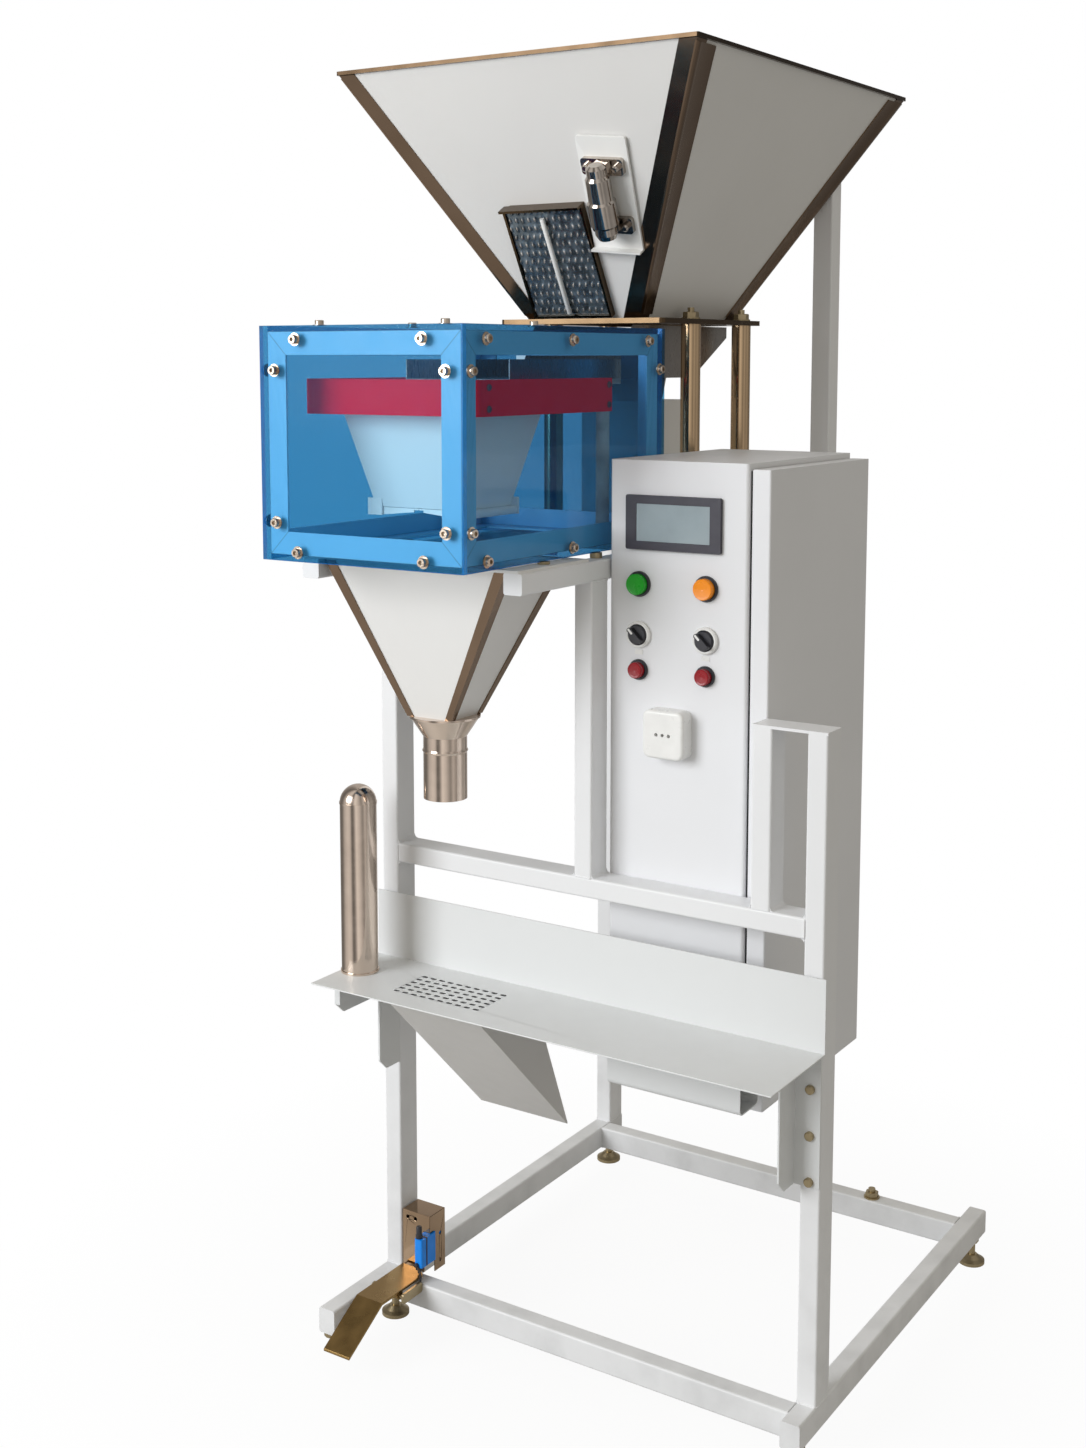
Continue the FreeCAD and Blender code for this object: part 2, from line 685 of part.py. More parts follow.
def sample_tube():
    """Closed stainless tube with a domed head and a weld bead at its foot and its dome."""
    body = rod(Vector(SAMPLE_X, SAMPLE_Y, SHELF_Z), SAMPLE_R, SAMPLE_BODY_H, UP)
    dome_place = Vector(SAMPLE_X, SAMPLE_Y, SHELF_Z + SAMPLE_BODY_H)
    dome = Part.makeSphere(SAMPLE_R, dome_place, UP, 0, 90, 360)
    bead_h = (SAMPLE_FLANGE_R - SAMPLE_R) * 2
    foot_bead = rod(Vector(SAMPLE_X, SAMPLE_Y, SHELF_Z), SAMPLE_FLANGE_R, bead_h, UP)
    seam = rod(dome_place - Vector(0, 0, bead_h / 2), (SAMPLE_R + SAMPLE_FLANGE_R) / 2, bead_h, UP)
    return join([body, dome, foot_bead, seam])


# Foot pedal

def pedal():
    """Bent foot plate on a knuckle; pressing its front end lifts the rear end."""
    under = PEDAL_TOP - PEDAL_T
    tip_y, tip_z = PEDAL_TIP
    profile = [(PEDAL_REAR, PEDAL_TOP), (PEDAL_BEND_Y, PEDAL_TOP), (tip_y, tip_z + PEDAL_T),
               (tip_y, tip_z), (PEDAL_BEND_Y + PEDAL_T / 4, under), (PEDAL_REAR, under)]
    plate = plate_in_yz(profile, PEDAL_X).cut(pedal_corner())
    inset = PEDAL_KNUCKLE_R
    start = Vector(PEDAL_X[0] + inset / 2, PEDAL_PIVOT_Y, pedal_pin_z())
    length = PEDAL_X[1] - PEDAL_X[0] - inset
    knuckle = rod(start, PEDAL_KNUCKLE_R, length, ALONG_X)
    bore = rod(Vector(0, PEDAL_PIVOT_Y, pedal_pin_z()), PEDAL_PIN_R + RUN_GAP, FRAME_W, ALONG_X)
    return join([plate, knuckle]).cut(bore)


def pedal_corner():
    """Wedge that takes off the plate's rear right corner."""
    points = [(PEDAL_X[1] + 1, PEDAL_REAR - PEDAL_CHAMFER), (PEDAL_X[1] + 1, PEDAL_REAR + 1),
              (PEDAL_X[1] - PEDAL_CHAMFER, PEDAL_REAR + 1), (PEDAL_X[1] - PEDAL_CHAMFER, PEDAL_REAR)]
    corners = [Vector(x, y, 0) for x, y in points]
    return Part.Face(Part.makePolygon(corners + corners[:1])).extrude(Vector(0, 0, PEDAL_TOP * 2))


def pedal_pin_z():
    return PEDAL_TOP - PEDAL_T - PEDAL_KNUCKLE_R + 1


def pedal_bracket():
    """Pivot pin from the left rail to an ear on the front cross rail."""
    pin = rod(Vector(RAIL_W, PEDAL_PIVOT_Y, pedal_pin_z()), PEDAL_PIN_R, PEDAL_EAR_X - RAIL_W, ALONG_X)
    tail = PEDAL_PIVOT_Y - PEDAL_KNUCKLE_R
    z = (pedal_pin_z() - PEDAL_KNUCKLE_R - 2, pedal_pin_z() + PEDAL_KNUCKLE_R - 1)
    ear = rounded_prism((PEDAL_EAR_X, PEDAL_EAR_X + PEDAL_EAR_T), (tail, -RAIL_W), z, PEDAL_T, "x")
    boss_start = Vector(RAIL_W, PEDAL_PIVOT_Y, pedal_pin_z())
    boss = rod(boss_start, PEDAL_KNUCKLE_R, PEDAL_X[0] - RAIL_W - 1, ALONG_X)
    return join([pin, ear, boss])


def switch_guard():
    """Folded stainless hood on the post's side, open at its foot, with the switch in its corner."""
    outer = block(GUARD_X, GUARD_Y, GUARD_Z)
    inner = block(shrink(GUARD_X, GUARD_T, GUARD_T), shrink(GUARD_Y, GUARD_T, GUARD_T),
                  (GUARD_Z[0] - GUARD_T, GUARD_Z[1] - GUARD_T))
    hood = outer.cut(inner)
    slot = block(shrink(SWITCH_X, -CAP_GAP, -CAP_GAP), shrink(SWITCH_Y, 0, -CAP_GAP),
                 (GUARD_Z[0] - GUARD_T, SWITCH_Z[1] + CAP_GAP))
    hood = hood.cut(slot)
    for step in range(2):
        z = GUARD_Z[1] - GUARD_BOLT_DROP - step * GUARD_BOLT_PITCH
        across = Vector(GUARD_X[0] + GUARD_T * 2, GUARD_BOLT_Y, z)
        hood = hood.cut(rod(across, GUARD_HOLE_R, GUARD_X[1], ALONG_X))
        front_hole = Vector(GUARD_HOLE_X + step * GUARD_HOLE_PITCH, GUARD_Y[0] - GUARD_T,
                            GUARD_Z[1] - GUARD_HOLE_DROP)
        hood = hood.cut(rod(front_hole, GUARD_HOLE_R, GUARD_T * 2.5, ALONG_Y))
    spacer = block((POST_W, GUARD_X[0]), shrink(GUARD_Y, GUARD_T * 2, GUARD_T * 5), shrink(GUARD_Z, 8, 8))
    return join([hood, spacer])


def limit_switch():
    """Moulded switch body with the guide for its push rod, carried through the hood's corner."""
    body = rounded_prism(SWITCH_X, SWITCH_Y, SWITCH_Z, 3, "z")
    strap_x = (SWITCH_X[0], GUARD_X[1] - GUARD_T)
    strap = block(strap_x, (SWITCH_Y[1], GUARD_Y[1] - GUARD_T), shrink(SWITCH_Z, 8, 8))
    foot_place = Vector(SWITCH_ROD_X, SWITCH_ROD_Y, SWITCH_Z[0] - SWITCH_GUIDE_H)
    guide = rod(foot_place, SWITCH_GUIDE_R, SWITCH_GUIDE_H, UP)
    head = rod(Vector(SWITCH_ROD_X, SWITCH_ROD_Y, SWITCH_Z[1]), SWITCH_GUIDE_R, SWITCH_GUIDE_H, UP)
    bore = rod(Vector(SWITCH_ROD_X, SWITCH_ROD_Y, 0), SWITCH_ROD_R + RUN_GAP, GUARD_Z[1] * 2, UP)
    return join([body, strap, guide, head]).cut(bore)


def switch_rod():
    """Push rod with a round end over the pedal's rear edge."""
    start = PEDAL_TOP + SWITCH_ROD_TRAVEL_GAP + SWITCH_ROD_R
    place = Vector(SWITCH_ROD_X, SWITCH_ROD_Y, start)
    shank = rod(place, SWITCH_ROD_R, SWITCH_Z[1] + 12 - start, UP)
    tip = Part.makeSphere(SWITCH_ROD_R, place)
    return join([shank, tip])


# Discharge funnel

def tapered(low, high, z, centre):
    """Straight-sided hopper block between two rectangles, folded sharp at its corners."""
    rings = []
    for size, level in ((low, z[0]), (high, z[1])):
        x = around(centre[0], size[0])
        y = around(centre[1], size[1])
        rings.append([Vector(x[0], y[0], level), Vector(x[1], y[0], level), Vector(x[1], y[1], level),
                      Vector(x[0], y[1], level)])
    foot, head = rings
    outlines = [foot, head]
    for side in range(4):
        after = (side + 1) % 4
        outlines.append([foot[side], foot[after], head[after], head[side]])
    faces = [Part.Face(Part.makePolygon(corners + corners[:1])) for corners in outlines]
    return Part.makeSolid(Part.makeShell(faces))


def corner_strip(low, high, z, leg, centre, sx, sy):
    """Folded angle along one sloping corner of a hopper, lying on both walls."""
    sections = []
    for size, level, width in ((low, z[0], leg[0]), (high, z[1], leg[1])):
        cx = centre[0] + sx * size[0] / 2
        cy = centre[1] + sy * size[1] / 2
        points = [(0, 0), (-width, 0), (-width, STRIP_T), (STRIP_T, STRIP_T), (STRIP_T, -width), (0, -width)]
        corners = [Vector(cx + sx * px, cy + sy * py, level) for px, py in points]
        sections.append(Part.makePolygon(corners + corners[:1]))
    return Part.makeLoft(sections, True, True)


def four_strips(low, high, z, leg, centre):
    sides = [(-1, -1), (1, -1), (1, 1), (-1, 1)]
    return Part.makeCompound([corner_strip(low, high, z, leg, centre, sx, sy) for sx, sy in sides])


def funnel_shell():
    """Folded sheet funnel with a flange that lies on the two arms under the box."""
    centre = (CENTRE_X, BUCKET_Y)
    end = (FUNNEL_END, FUNNEL_END)
    top = (FUNNEL_W, FUNNEL_D)
    inside = [size - SHEET_T * 2 for size in top]
    inside_end = [size - SHEET_T * 2 for size in end]
    outer = tapered(end, top, FUNNEL_Z, centre)
    inner = tapered(inside_end, inside, FUNNEL_Z, centre)
    flange_x = (FUNNEL_FLANGE_LIP, MID_POST_X + POST_W - FUNNEL_FLANGE_LIP)
    flange = block(flange_x, around(BUCKET_Y, FUNNEL_D + POST_W), (ARM_TOP, ARM_TOP + FLANGE_T))
    mouth = block(around(CENTRE_X, inside[0]), around(BUCKET_Y, inside[1]), (ARM_TOP - FLANGE_T, BOX_Z[0]))
    return join([outer.cut(inner), flange.cut(mouth)])


def funnel_strips():
    end = (FUNNEL_END, FUNNEL_END)
    z = (FUNNEL_Z[0], FUNNEL_Z[1])
    leg = (FUNNEL_STRIP_END_W, FUNNEL_STRIP_W)
    return four_strips(end, (FUNNEL_W, FUNNEL_D), z, leg, (CENTRE_X, BUCKET_Y))


def spout():
    """Turned collar from the funnel to the round spout, with the rolled bead for the bag clamp."""
    top = FUNNEL_Z[0]
    ledge = 3
    neck = top - ledge - ADAPTER_H
    wall = SPOUT_WALL
    bore_top = FUNNEL_END / 2 - SHEET_T
    profile = [(SPOUT_R, SPOUT_END), (SPOUT_R, SPOUT_BEAD_Z - SPOUT_BEAD_H), (SPOUT_R + wall, SPOUT_BEAD_Z),
               (SPOUT_R, SPOUT_BEAD_Z + SPOUT_BEAD_H), (SPOUT_R, neck), (ADAPTER_R - wall, top - ledge),
               (ADAPTER_R, top - ledge), (ADAPTER_R, top), (bore_top, top), (SPOUT_R - wall, neck),
               (SPOUT_R - wall, SPOUT_END)]
    return turned(profile, Vector(CENTRE_X, BUCKET_Y, 0), UP)


# Weighing box

def box_inner():
    """Space inside the clear panels."""
    return [shrink(BOX_X, PANEL_T, PANEL_T), shrink(BOX_Y, PANEL_T, PANEL_T), shrink(BOX_Z, PANEL_T, PANEL_T)]


def box_frame():
    """Twelve folded angles along the edges, behind the panels."""
    x, y, z = box_inner()
    outer = block(x, y, z)
    inside = [shrink(span, ANGLE_T, ANGLE_T) for span in (x, y, z)]
    frame = outer.cut(block(inside[0], inside[1], inside[2]))
    window = [shrink(span, ANGLE_LEG, ANGLE_LEG) for span in (x, y, z)]
    past = [shrink(span, -ANGLE_T, -ANGLE_T) for span in (x, y, z)]
    frame = frame.cut(block(past[0], window[1], window[2]))
    frame = frame.cut(block(window[0], past[1], window[2]))
    return frame.cut(block(window[0], window[1], past[2]))


def box_front_panel():
    return block(BOX_X, (BOX_FRONT, BOX_FRONT + PANEL_T), BOX_Z)


def side_span():
    return shrink(BOX_Y, PANEL_T, PANEL_T)


def box_right_panel():
    return block((BOX_X[1] - PANEL_T, BOX_X[1]), side_span(), BOX_Z)


def box_cover_panels():
    """Left, top, rear and floor panels, the rear one slotted for the trough."""
    x, y, z = box_inner()
    left = block((BOX_X[0], BOX_X[0] + PANEL_T), side_span(), BOX_Z)
    top = block(x, y, (BOX_Z[1] - PANEL_T, BOX_Z[1]))
    floor = block(x, y, (BOX_Z[0], BOX_Z[0] + PANEL_T))
    drop = block(around(CENTRE_X, FLOOR_OPENING_X), FLOOR_OPENING_Y, shrink(BOX_Z, -PANEL_T, PANEL_T))
    floor = floor.cut(drop)
    rear = block(BOX_X, (BOX_BACK - PANEL_T, BOX_BACK), BOX_Z)
    slot_z = (TROUGH_FLOOR - PANEL_T, TROUGH_FLOOR + TROUGH_WALL_H + BAR_T)
    slot = block(around(CENTRE_X, TROUGH_W + PANEL_T * 2), shrink(BOX_Y, 0, -PANEL_T), slot_z)
    return Part.makeCompound([left, top, floor, rear.cut(slot)])


def screw_places():
    """Head centres and outward directions on the front, both sides and the top."""
    low = BOX_Z[0] + SCREW_EDGE - BAR_T
    high = BOX_Z[1] - SCREW_EDGE
    places = []
    for dx in (-SCREW_FRONT_DX, SCREW_FRONT_DX):
        places += [(Vector(CENTRE_X + dx, BOX_FRONT, z), FRONT) for z in (low, high)]
        places.append((Vector(CENTRE_X + dx, BOX_MID_Y - SCREW_SIDE_DY, BOX_Z[1]), UP))
        places.append((Vector(CENTRE_X + dx, BOX_MID_Y, BOX_Z[1]), UP))
    for side in (-1, 1):
        x = CENTRE_X + side * BOX_W / 2
        inner = CENTRE_X + side * (BOX_W / 2 - PANEL_T - SCREW_EDGE)
        out = Vector(side, 0, 0)
        for z in (BOX_Z[0] + SCREW_CORNER_DZ - PANEL_T, BOX_Z[1] - SCREW_CORNER_DZ):
            places.append((Vector(inner, BOX_FRONT, z), FRONT))
            places += [(Vector(x, y, z), out) for y in shrink(BOX_Y, SCREW_CORNER_EDGE, SCREW_CORNER_EDGE)]
        for dy in (-SCREW_SIDE_DY, 0, SCREW_SIDE_DY):
            places += [(Vector(x, BOX_MID_Y + dy, z), out) for z in (low, high)]
    return places


def box_fixings():
    """Cap screws that hold the panels, and the turned spacers between the arms and the floor."""
    heads = [bolt_head(place, out, SCREW_HEAD_R, SCREW_HEAD_H) for place, out in screw_places()]
    seats = [(BUCKET_Y, ARM_TOP + FLANGE_T), (POST_D, ARM_TOP), (BOX_BACK - POST_W, ARM_TOP)]
    for x in (POST_W - SPACER_R, MID_POST_X + SPACER_R):
        heads += [rod(Vector(x, y, seat), SPACER_R, BOX_Z[0] - seat, UP) for y, seat in seats]
    return Part.makeCompound(heads)


def bar_columns():
    """Round columns that hold the bar up from the box frame."""
    foot_z = BOX_Z[0] + PANEL_T + ANGLE_T
    pieces = []
    for side in (-1, 1):
        x = CENTRE_X + side * (BAR_HALF_W - COLUMN_R)
        pieces.append(rod(Vector(x, BAR_REAR - COLUMN_R, foot_z), COLUMN_R, BAR_Z[0] - foot_z, UP))
    return pieces


def load_bars():
    """One flat bar bent to a U round the bucket, on two columns at its rear ends."""
    x = around(CENTRE_X, BAR_HALF_W * 2)
    corner = BAR_T * 2
    z = (BAR_Z[0], BAR_Z[1])
    y = (BAR_FRONT, BAR_REAR)
    outer = rounded_prism(x, shrink(y, 0, -corner * 2), z, corner, "z")
    inner = rounded_prism(shrink(x, BAR_T, BAR_T), shrink(y, BAR_T, -corner * 3), shrink(z, -BAR_T, -BAR_T),
                          corner - BAR_T / 2, "z")
    ends = block(shrink(x, -BAR_T, -BAR_T), (y[1], y[1] + corner * 4), shrink(z, -BAR_T, -BAR_T))
    return Part.makeCompound([outer.cut(inner).cut(ends)] + bar_columns())


def load_cells():
    """Single-point load cells: a bar with the double bore that lets it bend."""
    cells = []
    width, length, height = CELL_SIZE
    y = around(BUCKET_Y, length)
    z = (CELL_Z, CELL_Z + height)
    x_out = BAR_HALF_W - BAR_T
    for side in (-1, 1):
        outer = CENTRE_X + side * x_out
        near = outer - side * 3
        far = near - side * width
        body = block((min(near, far), max(near, far)), y, z)
        pad = block((min(outer, near), max(outer, near)), (y[0], y[0] + length / 4), z)
        cell = body.fuse(pad)
        for step in (-1, 1):
            place = Vector(min(near, far) - 1, middle(y) + step * CELL_WEB_R * 0.9, middle(z))
            cell = cell.cut(rod(place, CELL_WEB_R, width + 2, ALONG_X))
        cells.append(cell.removeSplitter())
    return Part.makeCompound(cells)


def gate_axis_x(side):
    return CENTRE_X + side * (BUCKET_BOTTOM[0] / 2 + GATE_KNUCKLE_R + GATE_GAP)


def gate_axis_z():
    return BUCKET_BOTTOM[2] - GATE_KNUCKLE_R


def weigh_bucket():
    """Folded bucket with a turned-out rim, cell ears and the pins of its two bottom flaps."""
    centre = (CENTRE_X, BUCKET_Y)
    z = (BUCKET_BOTTOM[2], BUCKET_TOP[2])
    low = BUCKET_BOTTOM[:2]
    high = BUCKET_TOP[:2]
    outer = tapered(low, high, z, centre)
    inside_low = [size - SHEET_T * 2 for size in low]
    inside_high = [size - SHEET_T * 2 for size in high]
    inner = tapered(inside_low, inside_high, z, centre)
    rim = block(around(CENTRE_X, high[0] + BUCKET_LIP * 2), around(BUCKET_Y, high[1] + BUCKET_LIP * 2),
                (z[1], z[1] + SHEET_T))
    mouth = block(around(CENTRE_X, inside_high[0]), around(BUCKET_Y, inside_high[1]),
                  shrink(z, 0, -SHEET_T * 2))
    rim = rim.cut(mouth)
    pieces = [outer.cut(inner), rim]
    width, length, height = CELL_SIZE
    cell_end = (middle(around(BUCKET_Y, length)) + length / 4, BUCKET_Y + length / 2)
    for side in (-1, 1):
        reach = CENTRE_X + side * (BAR_HALF_W - BAR_T - 3 - width)
        wall = CENTRE_X + side * (high[0] / 2 - SHEET_T)
        pieces.append(block((min(reach, wall), max(reach, wall)), cell_end, (z[1] - SHEET_T * 4, z[1])))
        axis_x = gate_axis_x(side)
        pin_y = around(BUCKET_Y, low[1] + GATE_LUG_T * 2)
        pin = rod(Vector(axis_x, pin_y[0], gate_axis_z()), GATE_PIN_R, pin_y[1] - pin_y[0], ALONG_Y)
        pieces.append(pin)
        for lug_y in ((pin_y[0], pin_y[0] + GATE_LUG_T), (pin_y[1] - GATE_LUG_T, pin_y[1])):
            inward = CENTRE_X + side * (low[0] / 2 - GATE_KNUCKLE_R * 2)
            outward = axis_x + side * GATE_KNUCKLE_R
            lug_x = (min(inward, outward), max(inward, outward))
            lug_z = (gate_axis_z() - GATE_KNUCKLE_R, BUCKET_BOTTOM[2] + GATE_KNUCKLE_R * 2)
            pieces.append(block(lug_x, lug_y, lug_z))
    return join(pieces)


def gate(side):
    """Bottom flap: a shallow pan on a knuckle beside the bucket's mouth."""
    axis_x = gate_axis_x(side)
    y = around(BUCKET_Y, BUCKET_BOTTOM[1] - GATE_GAP * 2)
    top = BUCKET_BOTTOM[2] - GATE_GAP
    tip = CENTRE_X + side * GATE_GAP / 2
    plate_x = (min(tip, axis_x), max(tip, axis_x))
    plate = block(plate_x, y, (top - SHEET_T, top))
    knuckle = rod(Vector(axis_x, y[0], gate_axis_z()), GATE_KNUCKLE_R, y[1] - y[0], ALONG_Y)
    shoulder = axis_x - side * GATE_KNUCKLE_R
    near_tip = tip + side * BUCKET_LIP
    rib_profile = [(shoulder, top - SHEET_T), (near_tip, top - SHEET_T), (near_tip, top - SHEET_T * 2.5),
                   (shoulder, top - GATE_KNUCKLE_R * 2)]
    ribs = [plate_in_xz(rib_profile, span)
            for span in ((y[0], y[0] + SHEET_T), (y[1] - SHEET_T, y[1]))]
    bore = rod(Vector(axis_x, y[0] - 1, gate_axis_z()), GATE_PIN_R + RUN_GAP, y[1] - y[0] + 2, ALONG_Y)
    return join([plate, knuckle] + ribs).cut(bore)


def gate_left():
    return gate(-1)


def gate_right():
    return gate(1)


def cylinder_y():
    return BUCKET_Y + BUCKET_TOP[1] / 2 + CYLINDER_R


def gate_cylinder():
    """Small air cylinder on a plate behind the bucket, working the flaps."""
    place = Vector(CENTRE_X, cylinder_y(), CYLINDER_Z[0])
    barrel = rod(place, CYLINDER_R, CYLINDER_Z[1] - CYLINDER_Z[0], UP)
    cap_r = CYLINDER_R + CYLINDER_CAP_RIM
    caps = [rod(Vector(place.x, place.y, z), cap_r, CYLINDER_CAP_H, UP)
            for z in (CYLINDER_Z[0], CYLINDER_Z[1] - CYLINDER_CAP_H)]
    hanger_z = (CYLINDER_Z[1], BUCKET_TOP[2])
    hanger_y = (place.y - CYLINDER_R * 0.8, place.y + CYLINDER_R)
    hanger = block(around(CENTRE_X, CYLINDER_R * 2), hanger_y, hanger_z)
    bore_h = CYLINDER_Z[1] - CYLINDER_Z[0] - CYLINDER_CAP_H
    bore = rod(Vector(place.x, place.y, CYLINDER_Z[0] - 1), CYLINDER_ROD_R + RUN_GAP, bore_h, UP)
    return join([barrel, hanger] + caps).cut(bore)


def gate_rod():
    """Piston rod with its fork, which pulls both flaps through links left open here."""
    place = Vector(CENTRE_X, cylinder_y(), CYLINDER_ROD_END)
    shank = rod(place, CYLINDER_ROD_R, CYLINDER_Z[1] - CYLINDER_CAP_H * 1.6 - CYLINDER_ROD_END, UP)
    fork = rod(place - Vector(0, 0, 8), CYLINDER_ROD_R * 1.8, 16, UP)
    return join([shank, fork])


# Hopper

def hopper_block(grow):
    """Solid hopper form, grown outwards all round."""
    low = [size + grow * 2 for size in HOPPER_OUTLET]
    high = [size + grow * 2 for size in HOPPER_RIM]
    return tapered(low, high, HOPPER_Z, (CENTRE_X, HOPPER_Y))


def hopper_shell():
    """Four sloping walls with a short collar above and a seat below."""
    inside_low = [size - SHEET_T * 2 for size in HOPPER_OUTLET]
    inside_high = [size - SHEET_T * 2 for size in HOPPER_RIM]
    inner = tapered(inside_low, inside_high, HOPPER_Z, (CENTRE_X, HOPPER_Y))
    return hopper_block(0).cut(inner)


def hopper_trim():
    """Stainless angles on the four corners and the folded band round the mouth."""
    z = (HOPPER_Z[0], HOPPER_Z[1] - RIM_H)
    share = (HOPPER_Z[1] - RIM_H - HOPPER_Z[0]) / (HOPPER_Z[1] - HOPPER_Z[0])
    high = [low + share * (top - low) for low, top in zip(HOPPER_OUTLET, HOPPER_RIM)]
    strips = four_strips(HOPPER_OUTLET, high, z, (HOPPER_STRIP_W, HOPPER_STRIP_W), (CENTRE_X, HOPPER_Y))
    rim_size = [size + STRIP_T * 2 for size in HOPPER_RIM]
    rim_z = (z[1], HOPPER_Z[1])
    rim = rounded_prism(around(CENTRE_X, rim_size[0]), around(HOPPER_Y, rim_size[1]), rim_z, RIM_CORNER, "z")
    return Part.makeCompound([strips, rim.cut(hopper_block(0))])


def on_wall(shape):
    """Move a piece drawn on an upright wall to the hopper's leaning front wall."""
    shape.rotate(Vector(0, 0, 0), ALONG_X, WALL_LEAN)
    shape.translate(WALL_FOOT)
    return shape


def sight_panel():
    """Shallow framed pan over the lower front wall, with a turned-out top ledge and its rod."""
    y = (-SIGHT_STANDOFF - SIGHT_DEPTH, 0)
    outer = block(SIGHT_X, y, SIGHT_UP)
    hollow = block(shrink(SIGHT_X, SIGHT_RIM, SIGHT_RIM), (y[0] - 1, y[0] + SIGHT_RIM),
                   shrink(SIGHT_UP, SIGHT_RIM, SIGHT_RIM))
    seat = block(shrink(SIGHT_X, SIGHT_SHEET_T, SIGHT_SHEET_T), (y[0] + SIGHT_RIM + SIGHT_SHEET_T, 1),
                 shrink(SIGHT_UP, SIGHT_SHEET_T, SIGHT_SHEET_T))
    pan = outer.cut(hollow).cut(seat)
    strip_edge = -HOPPER_OUTLET[0] / 2 + HOPPER_STRIP_W + CAP_GAP
    strip_seat = block((SIGHT_X[0] - 1, strip_edge), (-STRIP_T - CAP_GAP, 1), shrink(SIGHT_UP, -1, -1))
    ledge = block(SIGHT_X, (y[0] - SIGHT_LEDGE, y[0]), (SIGHT_UP[1] - SIGHT_RIM, SIGHT_UP[1]))
    rod_y = y[0] - SIGHT_ROD_R
    bar = rod(Vector(SIGHT_ROD_X, rod_y, SIGHT_ROD_UP[0]), SIGHT_ROD_R, SIGHT_ROD_UP[1] - SIGHT_ROD_UP[0], UP)
    studs = [rod(Vector(SIGHT_ROD_X, rod_y, z), SIGHT_ROD_R * 0.7, SIGHT_RIM + SIGHT_ROD_R, ALONG_Y)
             for z in shrink(SIGHT_ROD_UP, 12, 12)]
    return on_wall(join([pan.cut(strip_seat), ledge, bar] + studs))


def tilted(shape):
    """Lean a piece in the wall's plane and carry it to the vibrator's place."""
    shape.rotate(Vector(0, 0, 0), ALONG_Y, VIB_TILT)
    shape.translate(Vector(VIB_X, 0, VIB_UP))
    return on_wall(shape)


def vibrator_plate():
    """Backing plate on two pads that lift it over the corner strip, its lower edge turned out."""
    x = around(0, VIB_PLATE[0])
    up = around(0, VIB_PLATE[1])
    y = (VIB_SEAT, VIB_SEAT + VIB_PLATE_T)
    plate = rounded_prism(x, y, up, VIB_PLATE_T, "y")
    lip = block(x, (y[0] - VIB_PLATE_T * 3, y[1]), (up[0], up[0] + VIB_PLATE_T * 0.75))
    pads = [block(around(VIB_PAD_X, VIB_PAD[0]), (y[1], 0), around(side * VIB_PAD_UP, VIB_PAD[1]))
            for side in (-1, 1)]
    return tilted(join([plate, lip] + pads))


def vibrator():
    """Turned vibrator body in two clamped feet, with four bolts."""
    seat = VIB_SEAT
    centre_y = seat - VIB_FOOT[2] - VIB_R * 0.8
    start = -VIB_LENGTH / 2
    step = VIB_LENGTH / 10
    waist = VIB_R * 0.86
    neck = VIB_R * 0.7
    end = VIB_R * 0.8
    profile = [(0, 0), (VIB_R * 0.62, 0), (end, step * 0.7), (end, step * 1.6), (VIB_R, step * 2),
               (VIB_R, step * 5), (waist, step * 5.3), (waist, step * 8.2), (neck, step * 8.6),
               (neck, step * 9.6), (VIB_R * 0.45, step * 10), (0, step * 10)]
    pieces = [turned(profile, Vector(0, centre_y, start), UP)]
    width, height, thick = VIB_FOOT
    for z in (start + step, -start - step):
        pieces.append(rounded_prism(around(0, width), (seat - thick, seat), around(z, height), 5, "y"))
        pieces.append(block(around(0, VIB_R), (centre_y, seat), around(z, height * 0.6)))
        for x in (-width / 2 + 10, width / 2 - 10):
            pieces.append(bolt_head(Vector(x, seat - thick, z), FRONT, VIB_BOLT_R, VIB_BOLT_H))
    return tilted(join(pieces))


def pipe_places():
    return [Vector(CENTRE_X + dx, y, 0) for dx in (-PIPE_DX, PIPE_DX) for y in PIPE_Y]


def flange_plate():
    """Plate under the hopper, open at the outlet and drilled for the pipe studs."""
    plate = rounded_prism(around(CENTRE_X, PLATE_W), around(HOPPER_Y, PLATE_D), PLATE_Z, PIPE_R / 2, "z")
    opening = block(around(CENTRE_X, PLATE_OPENING[0]), around(HOPPER_Y, PLATE_OPENING[1]),
                    shrink(PLATE_Z, -1, -1))
    plate = plate.cut(opening)
    for place in pipe_places():
        plate = plate.cut(rod(place, PIPE_NUT_R * 0.6, PLATE_TOP + 1, UP))
    return plate


def support_pipes():
    """Four stainless pipes from the upper beams to the flange plate."""
    pipes = []
    for place in pipe_places():
        start = Vector(place.x, place.y, ARM_TOP)
        pipes.append(sleeve(start, PIPE_R, PIPE_R - PIPE_WALL, PLATE_Z[0] - ARM_TOP, UP))
    return Part.makeCompound(pipes)


def pipe_nuts():
    """Stud, washer and nut on top of each pipe."""
    base = -PLATE_T - PIPE_R
    top = PIPE_WASHER_H + PIPE_NUT_H
    profile = [(0, base), (PIPE_NUT_R * 0.55, base), (PIPE_NUT_R * 0.55, 0), (PIPE_WASHER_R, 0),
               (PIPE_WASHER_R, PIPE_WASHER_H), (PIPE_NUT_R, PIPE_WASHER_H), (PIPE_NUT_R, top),
               (PIPE_NUT_R * 0.5, top), (PIPE_NUT_R * 0.5, top + 7), (0, top + 7)]
    return [turned(profile, Vector(place.x, place.y, PLATE_TOP), UP) for place in pipe_places()]


def frame_bolts():
    return Part.makeCompound([tie_bolt()] + shelf_bolts() + pipe_nuts())


# Feeder

